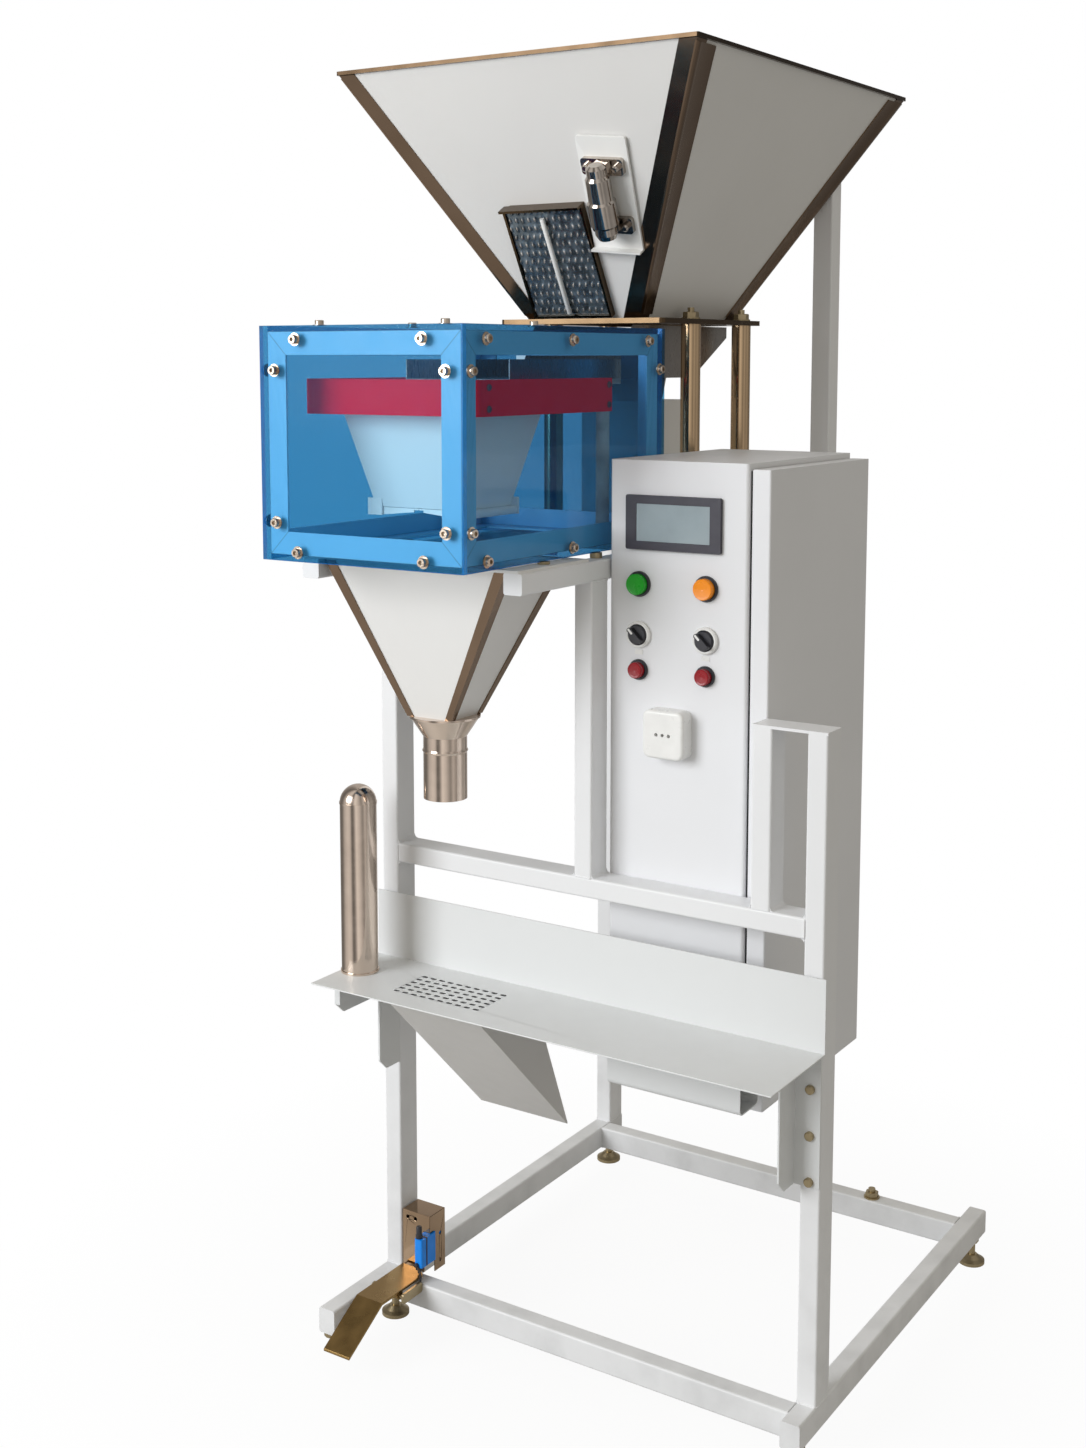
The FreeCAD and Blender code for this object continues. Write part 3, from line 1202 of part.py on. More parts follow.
def trough_profile(inset):
    """Side outline of the trough; the inset one is drawn past its open ends."""
    open_by = inset * 4
    front = TROUGH_FRONT - open_by
    top = PLATE_Z[0] - HOOD_GAP + open_by
    rear = HOPPER_Y + HOPPER_OUTLET[1] / 2 + SHEET_T - inset
    inlet = HOPPER_Y - HOPPER_OUTLET[1] / 2 - SHEET_T + inset
    lip = TROUGH_FLOOR + TROUGH_WALL_H + open_by
    floor = TROUGH_FLOOR + inset
    rise = TROUGH_REAR_Z + inset
    return [(rear, top), (rear, rise), (TROUGH_BEND_Y, floor), (front, floor), (front, lip),
            (inlet - TROUGH_WALL_H, lip), (inlet, top)]


def feed_trough():
    """Vibrating trough: hood under the hopper's outlet, then an open pan into the box."""
    outer = plate_in_yz(trough_profile(0), around(CENTRE_X, TROUGH_W))
    inner = plate_in_yz(trough_profile(SHEET_T), around(CENTRE_X, TROUGH_W - SHEET_T * 2))
    return outer.cut(inner)


def feed_drive():
    """Drive housing on rubber mounts and a base plate, with two leaf springs up to the trough."""
    x = around(CENTRE_X, DRIVE_W)
    housing = rounded_prism(x, DRIVE_Y, DRIVE_Z, DRIVE_CORNER, "z")
    base_z = (ARM_TOP, ARM_TOP + DRIVE_BASE_T)
    base = block(x, (PIPE_Y[0] - POST_W, PIPE_Y[1] + POST_W / 2), base_z)
    pieces = [housing, base]
    for mount_x in shrink(x, MOUNT_R * 1.5, MOUNT_R * 1.5):
        for mount_y in shrink(DRIVE_Y, MOUNT_R * 1.5, MOUNT_R * 1.5):
            place = Vector(mount_x, mount_y, base_z[1])
            pieces.append(rod(place, MOUNT_R, DRIVE_Z[0] - base_z[1], UP))
    for y in (DRIVE_Y[0] + LEAF_LEAN, TROUGH_BEND_Y - LEAF_LEAN * 3):
        profile = [(y, DRIVE_Z[1]), (y + LEAF_T, DRIVE_Z[1]), (y + LEAF_T + LEAF_LEAN, TROUGH_FLOOR),
                   (y + LEAF_LEAN, TROUGH_FLOOR)]
        pieces.append(plate_in_yz(profile, shrink(x, DRIVE_CORNER, DRIVE_CORNER)))
    return join(pieces)


# Control cabinet

def operator_places():
    places = [(BUTTON_X[0], PUSH_Z, PUSH_R), (BUTTON_X[1], PUSH_Z, PUSH_R)]
    places += [(x, SELECTOR_Z, PUSH_R) for x in BUTTON_X]
    places += [(x, SMALL_Z, SMALL_R) for x in BUTTON_X]
    return places


def barrel_radius(radius):
    return radius + CAP_GAP + BARREL_WALL


def hinge_bracket(z):
    """Fixed eye of a concealed hinge, reaching from the cabinet's edge into the door."""
    span = around(z, HINGE_H)
    eye = rod(Vector(HINGE_X, HINGE_Y, span[0]), HINGE_BARREL_R, HINGE_H, UP)
    arm = block((CAB_X[1] - CAB_SHEET, HINGE_X), around(HINGE_Y, HINGE_BARREL_R * 1.3), span)
    bore = rod(Vector(HINGE_X, HINGE_Y, 0), HINGE_PIN_R + RUN_GAP, CAB_Z[1], UP)
    return eye.fuse(arm).cut(bore)


def cabinet_body():
    """Folded steel body, open to the right behind a lipped frame, cut out for the operators."""
    outer = rounded_prism(CAB_X, CAB_Y, CAB_Z, CAB_CORNER, "z")
    room = [shrink(span, CAB_SHEET, CAB_SHEET) for span in (CAB_X, CAB_Y, CAB_Z)]
    body = outer.cut(block(room[0], room[1], room[2]))
    doorway = block((CAB_X[1] - CAB_SHEET * 2, CAB_X[1] + 1), shrink(CAB_Y, CAB_LIP, CAB_LIP),
                    shrink(CAB_Z, CAB_LIP, CAB_LIP))
    body = body.cut(doorway)
    cut_y = (CAB_Y[0] - 1, CAB_Y[0] + CAB_SHEET + 1)
    body = body.cut(block(shrink(HMI_X, HMI_BODY_EDGE - 1, HMI_BODY_EDGE - 1), cut_y,
                          shrink(HMI_Z, HMI_BODY_EDGE - 1, HMI_BODY_EDGE - 1)))
    for x, z, radius in operator_places():
        place = Vector(x, cut_y[0], z)
        body = body.cut(rod(place, barrel_radius(radius) + CAP_GAP, cut_y[1] - cut_y[0], ALONG_Y))
    return join([body] + [hinge_bracket(z) for z in HINGE_Z])


def cabinet_door():
    """Pan door: face, folded edges, inner lip, hinge pins and the notches for the hinge eyes."""
    outer = rounded_prism(DOOR_X, DOOR_Y, DOOR_Z, DOOR_CORNER, "z")
    hollow = block((DOOR_X[0] - 1, DOOR_X[1] - CAB_SHEET), shrink(DOOR_Y, CAB_SHEET, CAB_SHEET),
                   shrink(DOOR_Z, CAB_SHEET, CAB_SHEET))
    door = outer.cut(hollow)
    lip = CAB_LIP / 2
    half = CAB_SHEET / 2
    frame = block((DOOR_X[0], DOOR_X[0] + CAB_SHEET), shrink(DOOR_Y, half, half), shrink(DOOR_Z, half, half))
    mouth = block((DOOR_X[0] - 1, DOOR_X[1]), shrink(DOOR_Y, lip, lip * 3), shrink(DOOR_Z, lip, lip))
    frame = frame.cut(mouth)
    pieces = [door, frame]
    for z in HINGE_Z:
        span = around(z, HINGE_H)
        low = span[0] - LUG_GAP
        high = span[1] + LUG_GAP
        lug_x = around(HINGE_X, HINGE_BARREL_R * 2)
        for lug_z in ((low - LUG_H, low), (high, high + LUG_H)):
            pieces.append(block(lug_x, (HINGE_Y - HINGE_BARREL_R, DOOR_Y[1] - 1), lug_z))
            pieces.append(block((HINGE_X, DOOR_X[1] - 1), around(HINGE_Y, HINGE_BARREL_R), lug_z))
    door = join(pieces)
    for z in HINGE_Z:
        notch = shrink(around(z, HINGE_H), -LUG_GAP, -LUG_GAP)
        keep = DOOR_X[1] - CAB_SHEET
        door = door.cut(block((DOOR_X[0] - 1, keep), (HINGE_Y - HINGE_BARREL_R * 2.6, DOOR_Y[1] + 1), notch))
    pins = []
    for z in HINGE_Z:
        pin_z = shrink(around(z, HINGE_H), -LUG_GAP - LUG_H, -LUG_GAP - LUG_H)
        pins.append(rod(Vector(HINGE_X, HINGE_Y, pin_z[0]), HINGE_PIN_R, pin_z[1] - pin_z[0], UP))
    return join([door] + pins)


def mounting_plate():
    """Plate inside the cabinet with three rails and their rows of devices, and its standoffs."""
    x0 = CAB_X[0] + CAB_SHEET + PLATE_STANDOFF
    y = shrink(CAB_Y, PLATE_INSET, PLATE_INSET / 2)
    z = shrink(CAB_Z, PLATE_INSET, PLATE_INSET)
    plate = block((x0, x0 + CAB_SHEET), y, z)
    pieces = [plate]
    for stand_y in shrink(y, PLATE_STANDOFF, PLATE_STANDOFF):
        for stand_z in shrink(z, PLATE_STANDOFF, PLATE_STANDOFF):
            place = Vector(CAB_X[0] + CAB_SHEET, stand_y, stand_z)
            pieces.append(rod(place, PLATE_STANDOFF / 2, PLATE_STANDOFF, ALONG_X))
    face = x0 + CAB_SHEET
    pitch = (z[1] - z[0]) / (RAIL_LEVELS + 1)
    for level in range(RAIL_LEVELS):
        rail_z = z[0] + pitch * (level + 1)
        rail_y = shrink(y, PLATE_STANDOFF, PLATE_STANDOFF)
        pieces.append(block((face, face + RAIL_DEPTH), rail_y, around(rail_z, DEVICE_RAIL_H)))
        count = DEVICES_PER_RAIL + level * 2
        share = (rail_y[1] - rail_y[0]) / count
        for index in range(count):
            start = rail_y[0] + index * share
            unit_y = (start + DEVICE_GAP, start + share - DEVICE_GAP)
            depth = DEVICE_DEPTHS[index % 2]
            pieces.append(block((face + RAIL_DEPTH, face + depth), unit_y, around(rail_z, DEVICE_H)))
    return join(pieces)


def hmi():
    """Touch panel: bezel proud of the cabinet, recessed screen and the case behind it."""
    y = (CAB_Y[0] - HMI_T, CAB_Y[0])
    bezel = rounded_prism(HMI_X, y, HMI_Z, HMI_CORNER, "y")
    screen_x = shrink(HMI_X, HMI_SCREEN_EDGE_X, HMI_SCREEN_EDGE_X)
    screen_z = shrink(HMI_Z, HMI_SCREEN_EDGE_Z, HMI_SCREEN_EDGE_Z)
    screen = block(screen_x, (y[0] - 1, y[0] + HMI_SCREEN_DEPTH), screen_z)
    case = block(shrink(HMI_X, HMI_BODY_EDGE, HMI_BODY_EDGE), (CAB_Y[0], CAB_Y[0] + HMI_BODY_D),
                 shrink(HMI_Z, HMI_BODY_EDGE, HMI_BODY_EDGE))
    return join([bezel.cut(screen), case])


def bezel(x, z, radius):
    """Front ring, threaded barrel through the panel and the contact block behind it."""
    outer = barrel_radius(radius)
    rim = radius + BEZEL_RIM
    bore = radius + CAP_GAP
    face = CAB_Y[0]
    back = BARREL_D
    profile = [(bore, back), (outer, back), (outer, 0), (rim, 0), (rim, -BEZEL_H * 0.6), (rim - 1.5, -BEZEL_H),
               (bore, -BEZEL_H)]
    ring = turned(profile, Vector(x, face, z), ALONG_Y)
    housing = rounded_prism(around(x, outer * 2), (face + back, face + back + BLOCK_D),
                            around(z, outer * 2), HMI_CORNER, "y")
    return join([ring, housing])


def operator_bezels():
    return Part.makeCompound([bezel(x, z, radius) for x, z, radius in operator_places()])


def push_cap(x, z, radius):
    """Push button: dished face, skirt and the stem that slides in the barrel."""
    proud = CAP_PROUD
    edge = 1.2
    profile = [(0, -CAP_STEM_D), (radius, -CAP_STEM_D), (radius, proud - edge), (radius - edge, proud),
               (radius * 0.7, proud - 0.4), (0, proud - 0.9)]
    return turned(profile, Vector(x, CAB_Y[0], z), FRONT)


def green_button():
    return push_cap(BUTTON_X[0], PUSH_Z, PUSH_R)


def orange_button():
    return push_cap(BUTTON_X[1], PUSH_Z, PUSH_R)


def red_button_left():
    return push_cap(BUTTON_X[0], SMALL_Z, SMALL_R)


def red_button_right():
    return push_cap(BUTTON_X[1], SMALL_Z, SMALL_R)


def selector(x):
    """Selector knob: collar, waisted grip across the face and the stem, pointing up to the left."""
    face = CAB_Y[0]
    collar = PUSH_R
    profile = [(0, -CAP_STEM_D), (collar, -CAP_STEM_D), (collar, BEZEL_H + 2), (collar - 2, BEZEL_H + 4),
               (0, BEZEL_H + 4)]
    hub = turned(profile, Vector(x, face, SELECTOR_Z), FRONT)
    grip = rounded_prism(around(0, KNOB_GRIP_T), (-KNOB_PROUD, -BEZEL_H), around(0, collar * 1.86),
                         KNOB_GRIP_T * 0.43, "y")
    grip.rotate(Vector(0, 0, 0), ALONG_Y, -45)
    grip.translate(Vector(x, face, SELECTOR_Z))
    return join([hub, grip])


def selector_left():
    return selector(BUTTON_X[0])


def selector_right():
    return selector(BUTTON_X[1])


def socket_outlet():
    """Surface socket with rounded corners, a row of pin holes and a shallow ring round them."""
    y = (CAB_Y[0] - SOCKET_DEPTH, CAB_Y[0])
    case = rounded_prism(around(SOCKET_X, SOCKET_W), y, around(SOCKET_Z, SOCKET_H), SOCKET_CORNER, "y")
    front = [edge for edge in case.Edges if edge.BoundBox.YMax < y[0] + 0.01]
    case = case.makeFillet(SOCKET_CORNER * 0.45, front)
    for step in (-1, 0, 1):
        place = Vector(SOCKET_X + step * SOCKET_HOLE_PITCH, y[0] - 1, SOCKET_Z)
        case = case.cut(rod(place, SOCKET_HOLE_R, SOCKET_HOLE_D, ALONG_Y))
    return case


PIECES = [
    base_rail_left, base_rail_right, base_cross_rails, levelling_feet, frame_bolts, post_left, post_right,
    post_middle, post_rear_left, mid_cross_bar, window_frame, box_arms, upper_cross_beams, mast,
    shelf_tray, shelf_brackets, shelf_channel, spill_chute, sample_tube,
    pedal, pedal_bracket, switch_guard, limit_switch, switch_rod,
    funnel_shell, funnel_strips, spout,
    box_frame, box_front_panel, box_right_panel, box_cover_panels, box_fixings,
    load_bars, load_cells, weigh_bucket, gate_left, gate_right, gate_cylinder, gate_rod,
    hopper_shell, hopper_trim, sight_panel, vibrator_plate, vibrator,
    flange_plate, support_pipes, feed_trough, feed_drive,
    cabinet_body, cabinet_door, mounting_plate, hmi, operator_bezels,
    green_button, orange_button, red_button_left, red_button_right, selector_left, selector_right,
    socket_outlet,
]


def main():
    """Make every piece, stand the whole on the floor over the origin and write the files."""
    os.makedirs("parts", exist_ok=True)
    made = {piece.__name__: piece() for piece in PIECES}
    whole = FreeCAD.BoundBox()
    for shape in made.values():
        whole.add(shape.BoundBox)
    shift = Vector(-whole.Center.x, -whole.Center.y, -whole.ZMin)
    print("origin at", round(-shift.x, 4), round(-shift.y, 4), round(-shift.z, 4))
    for name, shape in made.items():
        shape.translate(shift)
        shape.exportStep("parts/" + name + ".step")


main()
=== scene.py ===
import math

import bmesh
import bpy
import numpy as np
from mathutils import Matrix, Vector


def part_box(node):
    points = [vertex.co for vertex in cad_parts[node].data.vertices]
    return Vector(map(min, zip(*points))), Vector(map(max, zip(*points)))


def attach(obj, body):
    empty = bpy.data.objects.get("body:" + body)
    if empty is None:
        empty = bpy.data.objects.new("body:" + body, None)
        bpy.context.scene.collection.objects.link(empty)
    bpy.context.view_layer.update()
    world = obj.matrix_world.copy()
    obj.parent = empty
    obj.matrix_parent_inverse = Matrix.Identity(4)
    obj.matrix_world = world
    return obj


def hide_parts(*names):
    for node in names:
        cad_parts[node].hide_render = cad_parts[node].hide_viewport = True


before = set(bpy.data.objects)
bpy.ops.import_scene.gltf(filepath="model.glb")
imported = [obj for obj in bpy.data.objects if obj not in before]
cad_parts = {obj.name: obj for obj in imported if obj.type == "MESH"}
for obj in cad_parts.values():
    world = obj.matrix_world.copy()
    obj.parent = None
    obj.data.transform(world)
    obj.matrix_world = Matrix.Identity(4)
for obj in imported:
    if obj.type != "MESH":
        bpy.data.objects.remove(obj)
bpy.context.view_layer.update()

scene = bpy.context.scene

# Camera, floor and light. The camera stands to the right of the operator's place at eye height,
# and looks a little down. The floor is a pale sheet that turns white away from the machine.
# A wide soft lamp shines from the front left, and an even pale room lights the rest.
scene.view_settings.view_transform = "Standard"
camera_data = bpy.data.cameras.new("camera")
camera_data.sensor_width = 36.0
camera_data.lens = 44.44
camera_data.shift_y = -0.1093
camera = bpy.data.objects.new("camera", camera_data)
camera.location = (1.3915, -2.417, 1.531)
camera.rotation_euler = (math.radians(83.39), 0.0, math.radians(33.13))
scene.collection.objects.link(camera)
scene.camera = camera
ROOM_LIGHT = 0.5
WARM_ROOM = (1.04, 0.99, 0.885)
COOL_LAMP = (0.955, 0.975, 1.0)
FLOOR_BOUNCE = 0.42


def linear(red, green, blue):
    """Colour as seen on a screen, 0 to 255, made linear by the usual power of 2.2."""
    return tuple((channel / 255) ** 2.2 for channel in (red, green, blue))


def new_finish(name, colour, roughness, metallic=0.0):
    """Bare finish: its material, node tree, shader and the object's own coordinates."""
    material = bpy.data.materials.new(name)
    material.use_nodes = True
    tree = material.node_tree
    shader = tree.nodes["Principled BSDF"]
    shader.inputs["Base Color"].default_value = (*colour, 1)
    shader.inputs["Roughness"].default_value = roughness
    shader.inputs["Metallic"].default_value = metallic
    place = tree.nodes.new("ShaderNodeTexCoord").outputs["Object"]
    return material, tree, shader, place


def ramp(tree, factor, stops):
    """Colours set at places between 0 and 1, blended in between."""
    band = tree.nodes.new("ShaderNodeValToRGB")
    elements = band.color_ramp.elements
    for spare in range(len(stops) - 2):
        elements.new(0.5)
    for element, (position, colour) in zip(elements, stops):
        element.position = position
        element.color = (*colour, 1)
    tree.links.new(factor, band.inputs["Fac"])
    return band.outputs["Color"]


def spread(tree, factor, low, high, start=0.3, end=0.7):
    """Factor stretched from one range of values to another."""
    level = tree.nodes.new("ShaderNodeMapRange")
    level.inputs["From Min"].default_value = start
    level.inputs["From Max"].default_value = end
    level.inputs["To Min"].default_value = low
    level.inputs["To Max"].default_value = high
    tree.links.new(factor, level.inputs["Value"])
    return level.outputs["Result"]


def worked_out(tree, operation, first, second=None):
    """Socket with the result of one sum; the second term may be a number."""
    step = tree.nodes.new("ShaderNodeMath")
    step.operation = operation
    tree.links.new(first, step.inputs[0])
    if isinstance(second, (int, float)):
        step.inputs[1].default_value = second
    elif second is not None:
        tree.links.new(second, step.inputs[1])
    return step.outputs[0]


def switched(tree, factor, plain, other):
    """Colour that is plain, or the other socket's where the factor is 1."""
    mix = tree.nodes.new("ShaderNodeMix")
    mix.data_type = "RGBA"
    mix.inputs["A"].default_value = (*plain, 1)
    tree.links.new(factor, mix.inputs["Factor"])
    tree.links.new(other, mix.inputs["B"])
    return mix.outputs["Result"]


def separated(tree, vector):
    """Sockets of a vector's three parts, by the names X, Y and Z or by number."""
    split = tree.nodes.new("ShaderNodeSeparateXYZ")
    tree.links.new(vector, split.inputs["Vector"])
    return split.outputs


def room_walls(tree, direction):
    """Tone of the room's walls by the angle round the machine: pale in front on the left, dark behind
    on the right, with window and door bands between."""
    split = separated(tree, direction)
    angle = worked_out(tree, "ARCTAN2", split["Y"], split["X"])
    share = spread(tree, angle, 0.0, 1.0, -math.pi, math.pi)
    tones = [(0.0, 0.18), (0.05, 0.22), (0.10, 0.60), (0.16, 0.80), (0.20, 0.70), (0.23, 0.16),
             (0.26, 0.25), (0.30, 0.95), (0.35, 0.70), (0.41, 0.30), (0.45, 0.62), (0.50, 0.35),
             (0.57, 0.50), (0.66, 0.18), (0.75, 0.25), (0.80, 0.50), (0.88, 0.55), (0.94, 0.30),
             (1.0, 0.18)]
    return ramp(tree, share, [(place, (tone, tone * 0.97, tone * 0.94)) for place, tone in tones])


def sky():
    """Even, slightly warm room light, which the camera and clear sheets see as plain white, and gloss
    as walls."""
    world = bpy.data.worlds.new("room")
    world.use_nodes = True
    tree = world.node_tree
    background = tree.nodes["Background"]
    path = tree.nodes.new("ShaderNodeLightPath")
    seen = worked_out(tree, "MAXIMUM", path.outputs["Is Camera Ray"], path.outputs["Is Transmission Ray"])
    bright = worked_out(tree, "MAXIMUM", seen, path.outputs["Is Glossy Ray"])
    tree.links.new(spread(tree, bright, ROOM_LIGHT, 1.0, 0.0, 1.0), background.inputs["Strength"])
    walls = room_walls(tree, tree.nodes.new("ShaderNodeTexCoord").outputs["Generated"])
    bare = switched(tree, path.outputs["Is Glossy Ray"], (1, 1, 1), walls)
    tree.links.new(switched(tree, bright, WARM_ROOM, bare), background.inputs["Color"])
    scene.world = world


def floor():
    """Flat round floor that fades with the distance from its middle: to white for the camera, and to
    the room's walls for gloss. Its bounce on matt surfaces is held down."""
    angle = np.linspace(0, 2 * np.pi, 64, endpoint=False)
    ring = np.stack([14 * np.cos(angle), 14 * np.sin(angle), np.zeros(64)], axis=1)
    mesh = bpy.data.meshes.new("floor")
    mesh.from_pydata(ring.tolist(), [], [list(range(64))])
    plane = bpy.data.objects.new("floor", mesh)
    scene.collection.objects.link(plane)
    material, tree, shader, place = new_finish("floor_paint", (0.84, 0.84, 0.84), 0.9)
    path = tree.nodes.new("ShaderNodeLightPath")
    glossy = path.outputs["Is Glossy Ray"]
    paint = spread(tree, path.outputs["Is Diffuse Ray"], 0.84, FLOOR_BOUNCE, 0.0, 1.0)
    tree.links.new(paint, shader.inputs["Base Color"])
    length = tree.nodes.new("ShaderNodeVectorMath")
    length.operation = "LENGTH"
    tree.links.new(place, length.inputs[0])
    white = spread(tree, length.outputs["Value"], 0.92, 1.0, 0.3, 1.1)
    walls = spread(tree, length.outputs["Value"], 0.0, 1.0, 0.6, 1.9)
    far = worked_out(tree, "MAXIMUM", worked_out(tree, "MULTIPLY", path.outputs["Is Camera Ray"], white),
                     worked_out(tree, "MULTIPLY", glossy, walls))
    glow = tree.nodes.new("ShaderNodeEmission")
    tree.links.new(switched(tree, glossy, (1, 1, 1), room_walls(tree, place)), glow.inputs["Color"])
    blend = tree.nodes.new("ShaderNodeMixShader")
    tree.links.new(far, blend.inputs["Fac"])
    tree.links.new(shader.outputs["BSDF"], blend.inputs[1])
    tree.links.new(glow.outputs["Emission"], blend.inputs[2])
    tree.links.new(blend.outputs["Shader"], tree.nodes["Material Output"].inputs["Surface"])
    mesh.materials.append(material)


def lamp(name, place, aim, size, energy):
    """Square soft lamp whose own axis points from its place to its aim."""
    light = bpy.data.lights.new(name, "AREA")
    light.size = size
    light.energy = energy
    light.color = COOL_LAMP
    holder = bpy.data.objects.new(name, light)
    holder.location = place
    direction = np.array(aim, float) - np.array(place, float)
    flat = math.hypot(direction[0], direction[1])
    tilt = math.atan2(flat, -direction[2])
    holder.rotation_euler = (tilt, 0.0, math.atan2(direction[1], direction[0]) - math.pi / 2)
    scene.collection.objects.link(holder)


sky()
floor()
lamp("front_lamp", (-2.2, -4.6, 2.6), (0.0, 0.0, 1.0), 2.8, 204)


# Welded frame: rectangular steel tube, closed at its open ends, welded all round and powder
# coated light grey. The coat has a fine grain, drifts a little in tone, and is scuffed and
# dusty low down, where shoes and pallets touch it.
def noise(tree, place, scale, detail=3.0, stretch=(1, 1, 1)):
    """Factor from 0 to 1 that drifts in space; a stretch makes it run along an axis."""
    mapping = tree.nodes.new("ShaderNodeMapping")
    mapping.inputs["Scale"].default_value = stretch
    texture = tree.nodes.new("ShaderNodeTexNoise")
    texture.inputs["Scale"].default_value = scale
    texture.inputs["Detail"].default_value = detail
    tree.links.new(place, mapping.inputs["Vector"])
    tree.links.new(mapping.outputs["Vector"], texture.inputs["Vector"])
    return texture.outputs["Fac"]


def mixed(tree, factor, first, second):
    """Blend of two colour sockets by a factor socket."""
    mix = tree.nodes.new("ShaderNodeMix")
    mix.data_type = "RGBA"
    tree.links.new(factor, mix.inputs["Factor"])
    tree.links.new(first, mix.inputs["A"])
    tree.links.new(second, mix.inputs["B"])
    return mix.outputs["Result"]


def relief(tree, shader, factor, depth, strength=0.4):
    """Height in metres from a factor, as bump."""
    bump = tree.nodes.new("ShaderNodeBump")
    bump.inputs["Distance"].default_value = depth
    bump.inputs["Strength"].default_value = strength
    tree.links.new(factor, bump.inputs["Height"])
    tree.links.new(bump.outputs["Normal"], shader.inputs["Normal"])


def shade(colour, by):
    """Colour made darker or lighter by one factor."""
    return tuple(channel * by for channel in colour)


def coated(name, colour, roughness=0.42, grain=0.00005, dusty=True):
    """Powder coat: slow noise for tone, quick noise for gloss and grain, dust that fades with height."""
    material, tree, shader, place = new_finish(name, colour, roughness)
    tone = ramp(tree, noise(tree, place, 3.0), [(0.3, shade(colour, 0.955)), (0.7, colour)])
    if dusty:
        split = separated(tree, place)
        low = spread(tree, split["Z"], 0.55, 0.0, 0.03, 0.55)
        patch = spread(tree, noise(tree, place, 16.0, 5.0), 0.0, 1.0, 0.42, 0.72)
        amount = worked_out(tree, "MULTIPLY", low, patch)
        dusts = [(0.3, shade(colour, 0.70)), (0.7, shade(colour, 0.80))]
        tone = mixed(tree, amount, tone, ramp(tree, noise(tree, place, 60.0), dusts))
    tree.links.new(tone, shader.inputs["Base Color"])
    gloss = spread(tree, noise(tree, place, 40.0), roughness - 0.06, roughness + 0.08)
    tree.links.new(gloss, shader.inputs["Roughness"])
    relief(tree, shader, noise(tree, place, 900.0, 2.0), grain)
    return material


def dress(material, *names):
    """Give carried-over nodes their finish."""
    for name in names:
        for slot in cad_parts[name].material_slots:
            slot.material = material


def soften(width, *names):
    """Small bevel on the sharp edges of folded and cut pieces, over their joined triangles."""
    for name in names:
        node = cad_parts[name]
        weld = node.modifiers.new("weld", "WELD")
        weld.merge_threshold = 0.00001
        bevel = node.modifiers.new("edge", "BEVEL")
        bevel.width = width
        bevel.segments = 2
        bevel.limit_method = "ANGLE"
        bevel.angle_limit = math.radians(40)


frame_coat = coated("frame_coat", linear(233, 234, 236))
dress(frame_coat, "base_rail_left", "base_rail_right", "base_cross_rails", "post_left", "post_right",
      "post_middle", "post_rear_left", "mast", "mid_cross_bar", "window_frame", "box_arms",
      "upper_cross_beams")


def add_piece(name, points, faces, material, slot, body="frame", smooth=40):
    """New piece from whole arrays of points and faces; equal points are joined, and normals face out."""
    mesh = bpy.data.meshes.new(name)
    mesh.from_pydata(np.asarray(points).tolist(), [], np.asarray(faces).tolist())
    work = bmesh.new()
    work.from_mesh(mesh)
    bmesh.ops.remove_doubles(work, verts=work.verts, dist=1e-6)
    bmesh.ops.dissolve_degenerate(work, dist=1e-7, edges=work.edges)
    bmesh.ops.recalc_face_normals(work, faces=work.faces)
    work.to_mesh(mesh)
    work.free()
    mesh.shade_smooth()
    mesh.set_sharp_from_angle(angle=math.radians(smooth))
    mesh.materials.append(material)
    piece = bpy.data.objects.new(name, mesh)
    scene.collection.objects.link(piece)
    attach(piece, body)
    return piece


def quads(rows, columns, closed=True):
    """Faces of a grid of points, row by row, with the last column joined to the first."""
    i = np.arange(rows - 1)[:, None]
    j = np.arange(columns if closed else columns - 1)[None, :]
    k = (j + 1) % columns
    row, after = i * columns, (i + 1) * columns
    return np.stack([row + j, row + k, after + k, after + j], axis=-1).reshape(-1, 4)


def gather(parts):
    """Several pairs of points and faces as one pair."""
    points, faces, count = [], [], 0
    for some_points, some_faces in parts:
        points.append(some_points)
        faces.append(some_faces + count)
        count += len(some_points)
    return np.concatenate(points), np.concatenate(faces)


def add_joined(name, parts, *details, **more):
    """One new piece from several pairs of points and faces."""
    return add_piece(name, *gather(parts), *details, **more)


def weld_bead(corners, radius=0.0016, pitch=0.003):
    """Bead round a closed run of corners: a circle is carried along the run, and its radius swells
    and shrinks with a sine of the distance run, as the puddles of a weld do."""
    corners = np.asarray(corners, float)
    ends = np.roll(corners, -1, axis=0)
    lengths = np.linalg.norm(ends - corners, axis=1)
    steps = np.maximum((lengths / (pitch / 2)).astype(int), 2)
    shares = [np.linspace(0, 1, count, endpoint=False) for count in steps]
    path = np.concatenate([a + (b - a) * s[:, None] for a, b, s in zip(corners, ends, shares)])
    middle = path.mean(axis=0)
    normal = np.cross(corners[1] - corners[0], corners[2] - corners[1])
    normal /= np.linalg.norm(normal)
    along = np.roll(path, -1, axis=0) - np.roll(path, 1, axis=0)
    along /= np.linalg.norm(along, axis=1)[:, None]
    outward = np.cross(along, normal)
    outward *= np.sign(np.sum(outward * (path - middle), axis=1))[:, None]
    swell = radius * (0.86 + 0.14 * np.sin(np.arange(len(path)) * np.pi / 1.5))
    turn = np.linspace(0, 2 * np.pi, 8, endpoint=False)
    ring = np.cos(turn)[None, :, None] * outward[:, None, :] + np.sin(turn)[None, :, None] * normal
    points = path[:, None, :] + swell[:, None, None] * ring
    faces = quads(len(path) + 1, 8)
    return points.reshape(-1, 3), faces % (len(path) * 8)


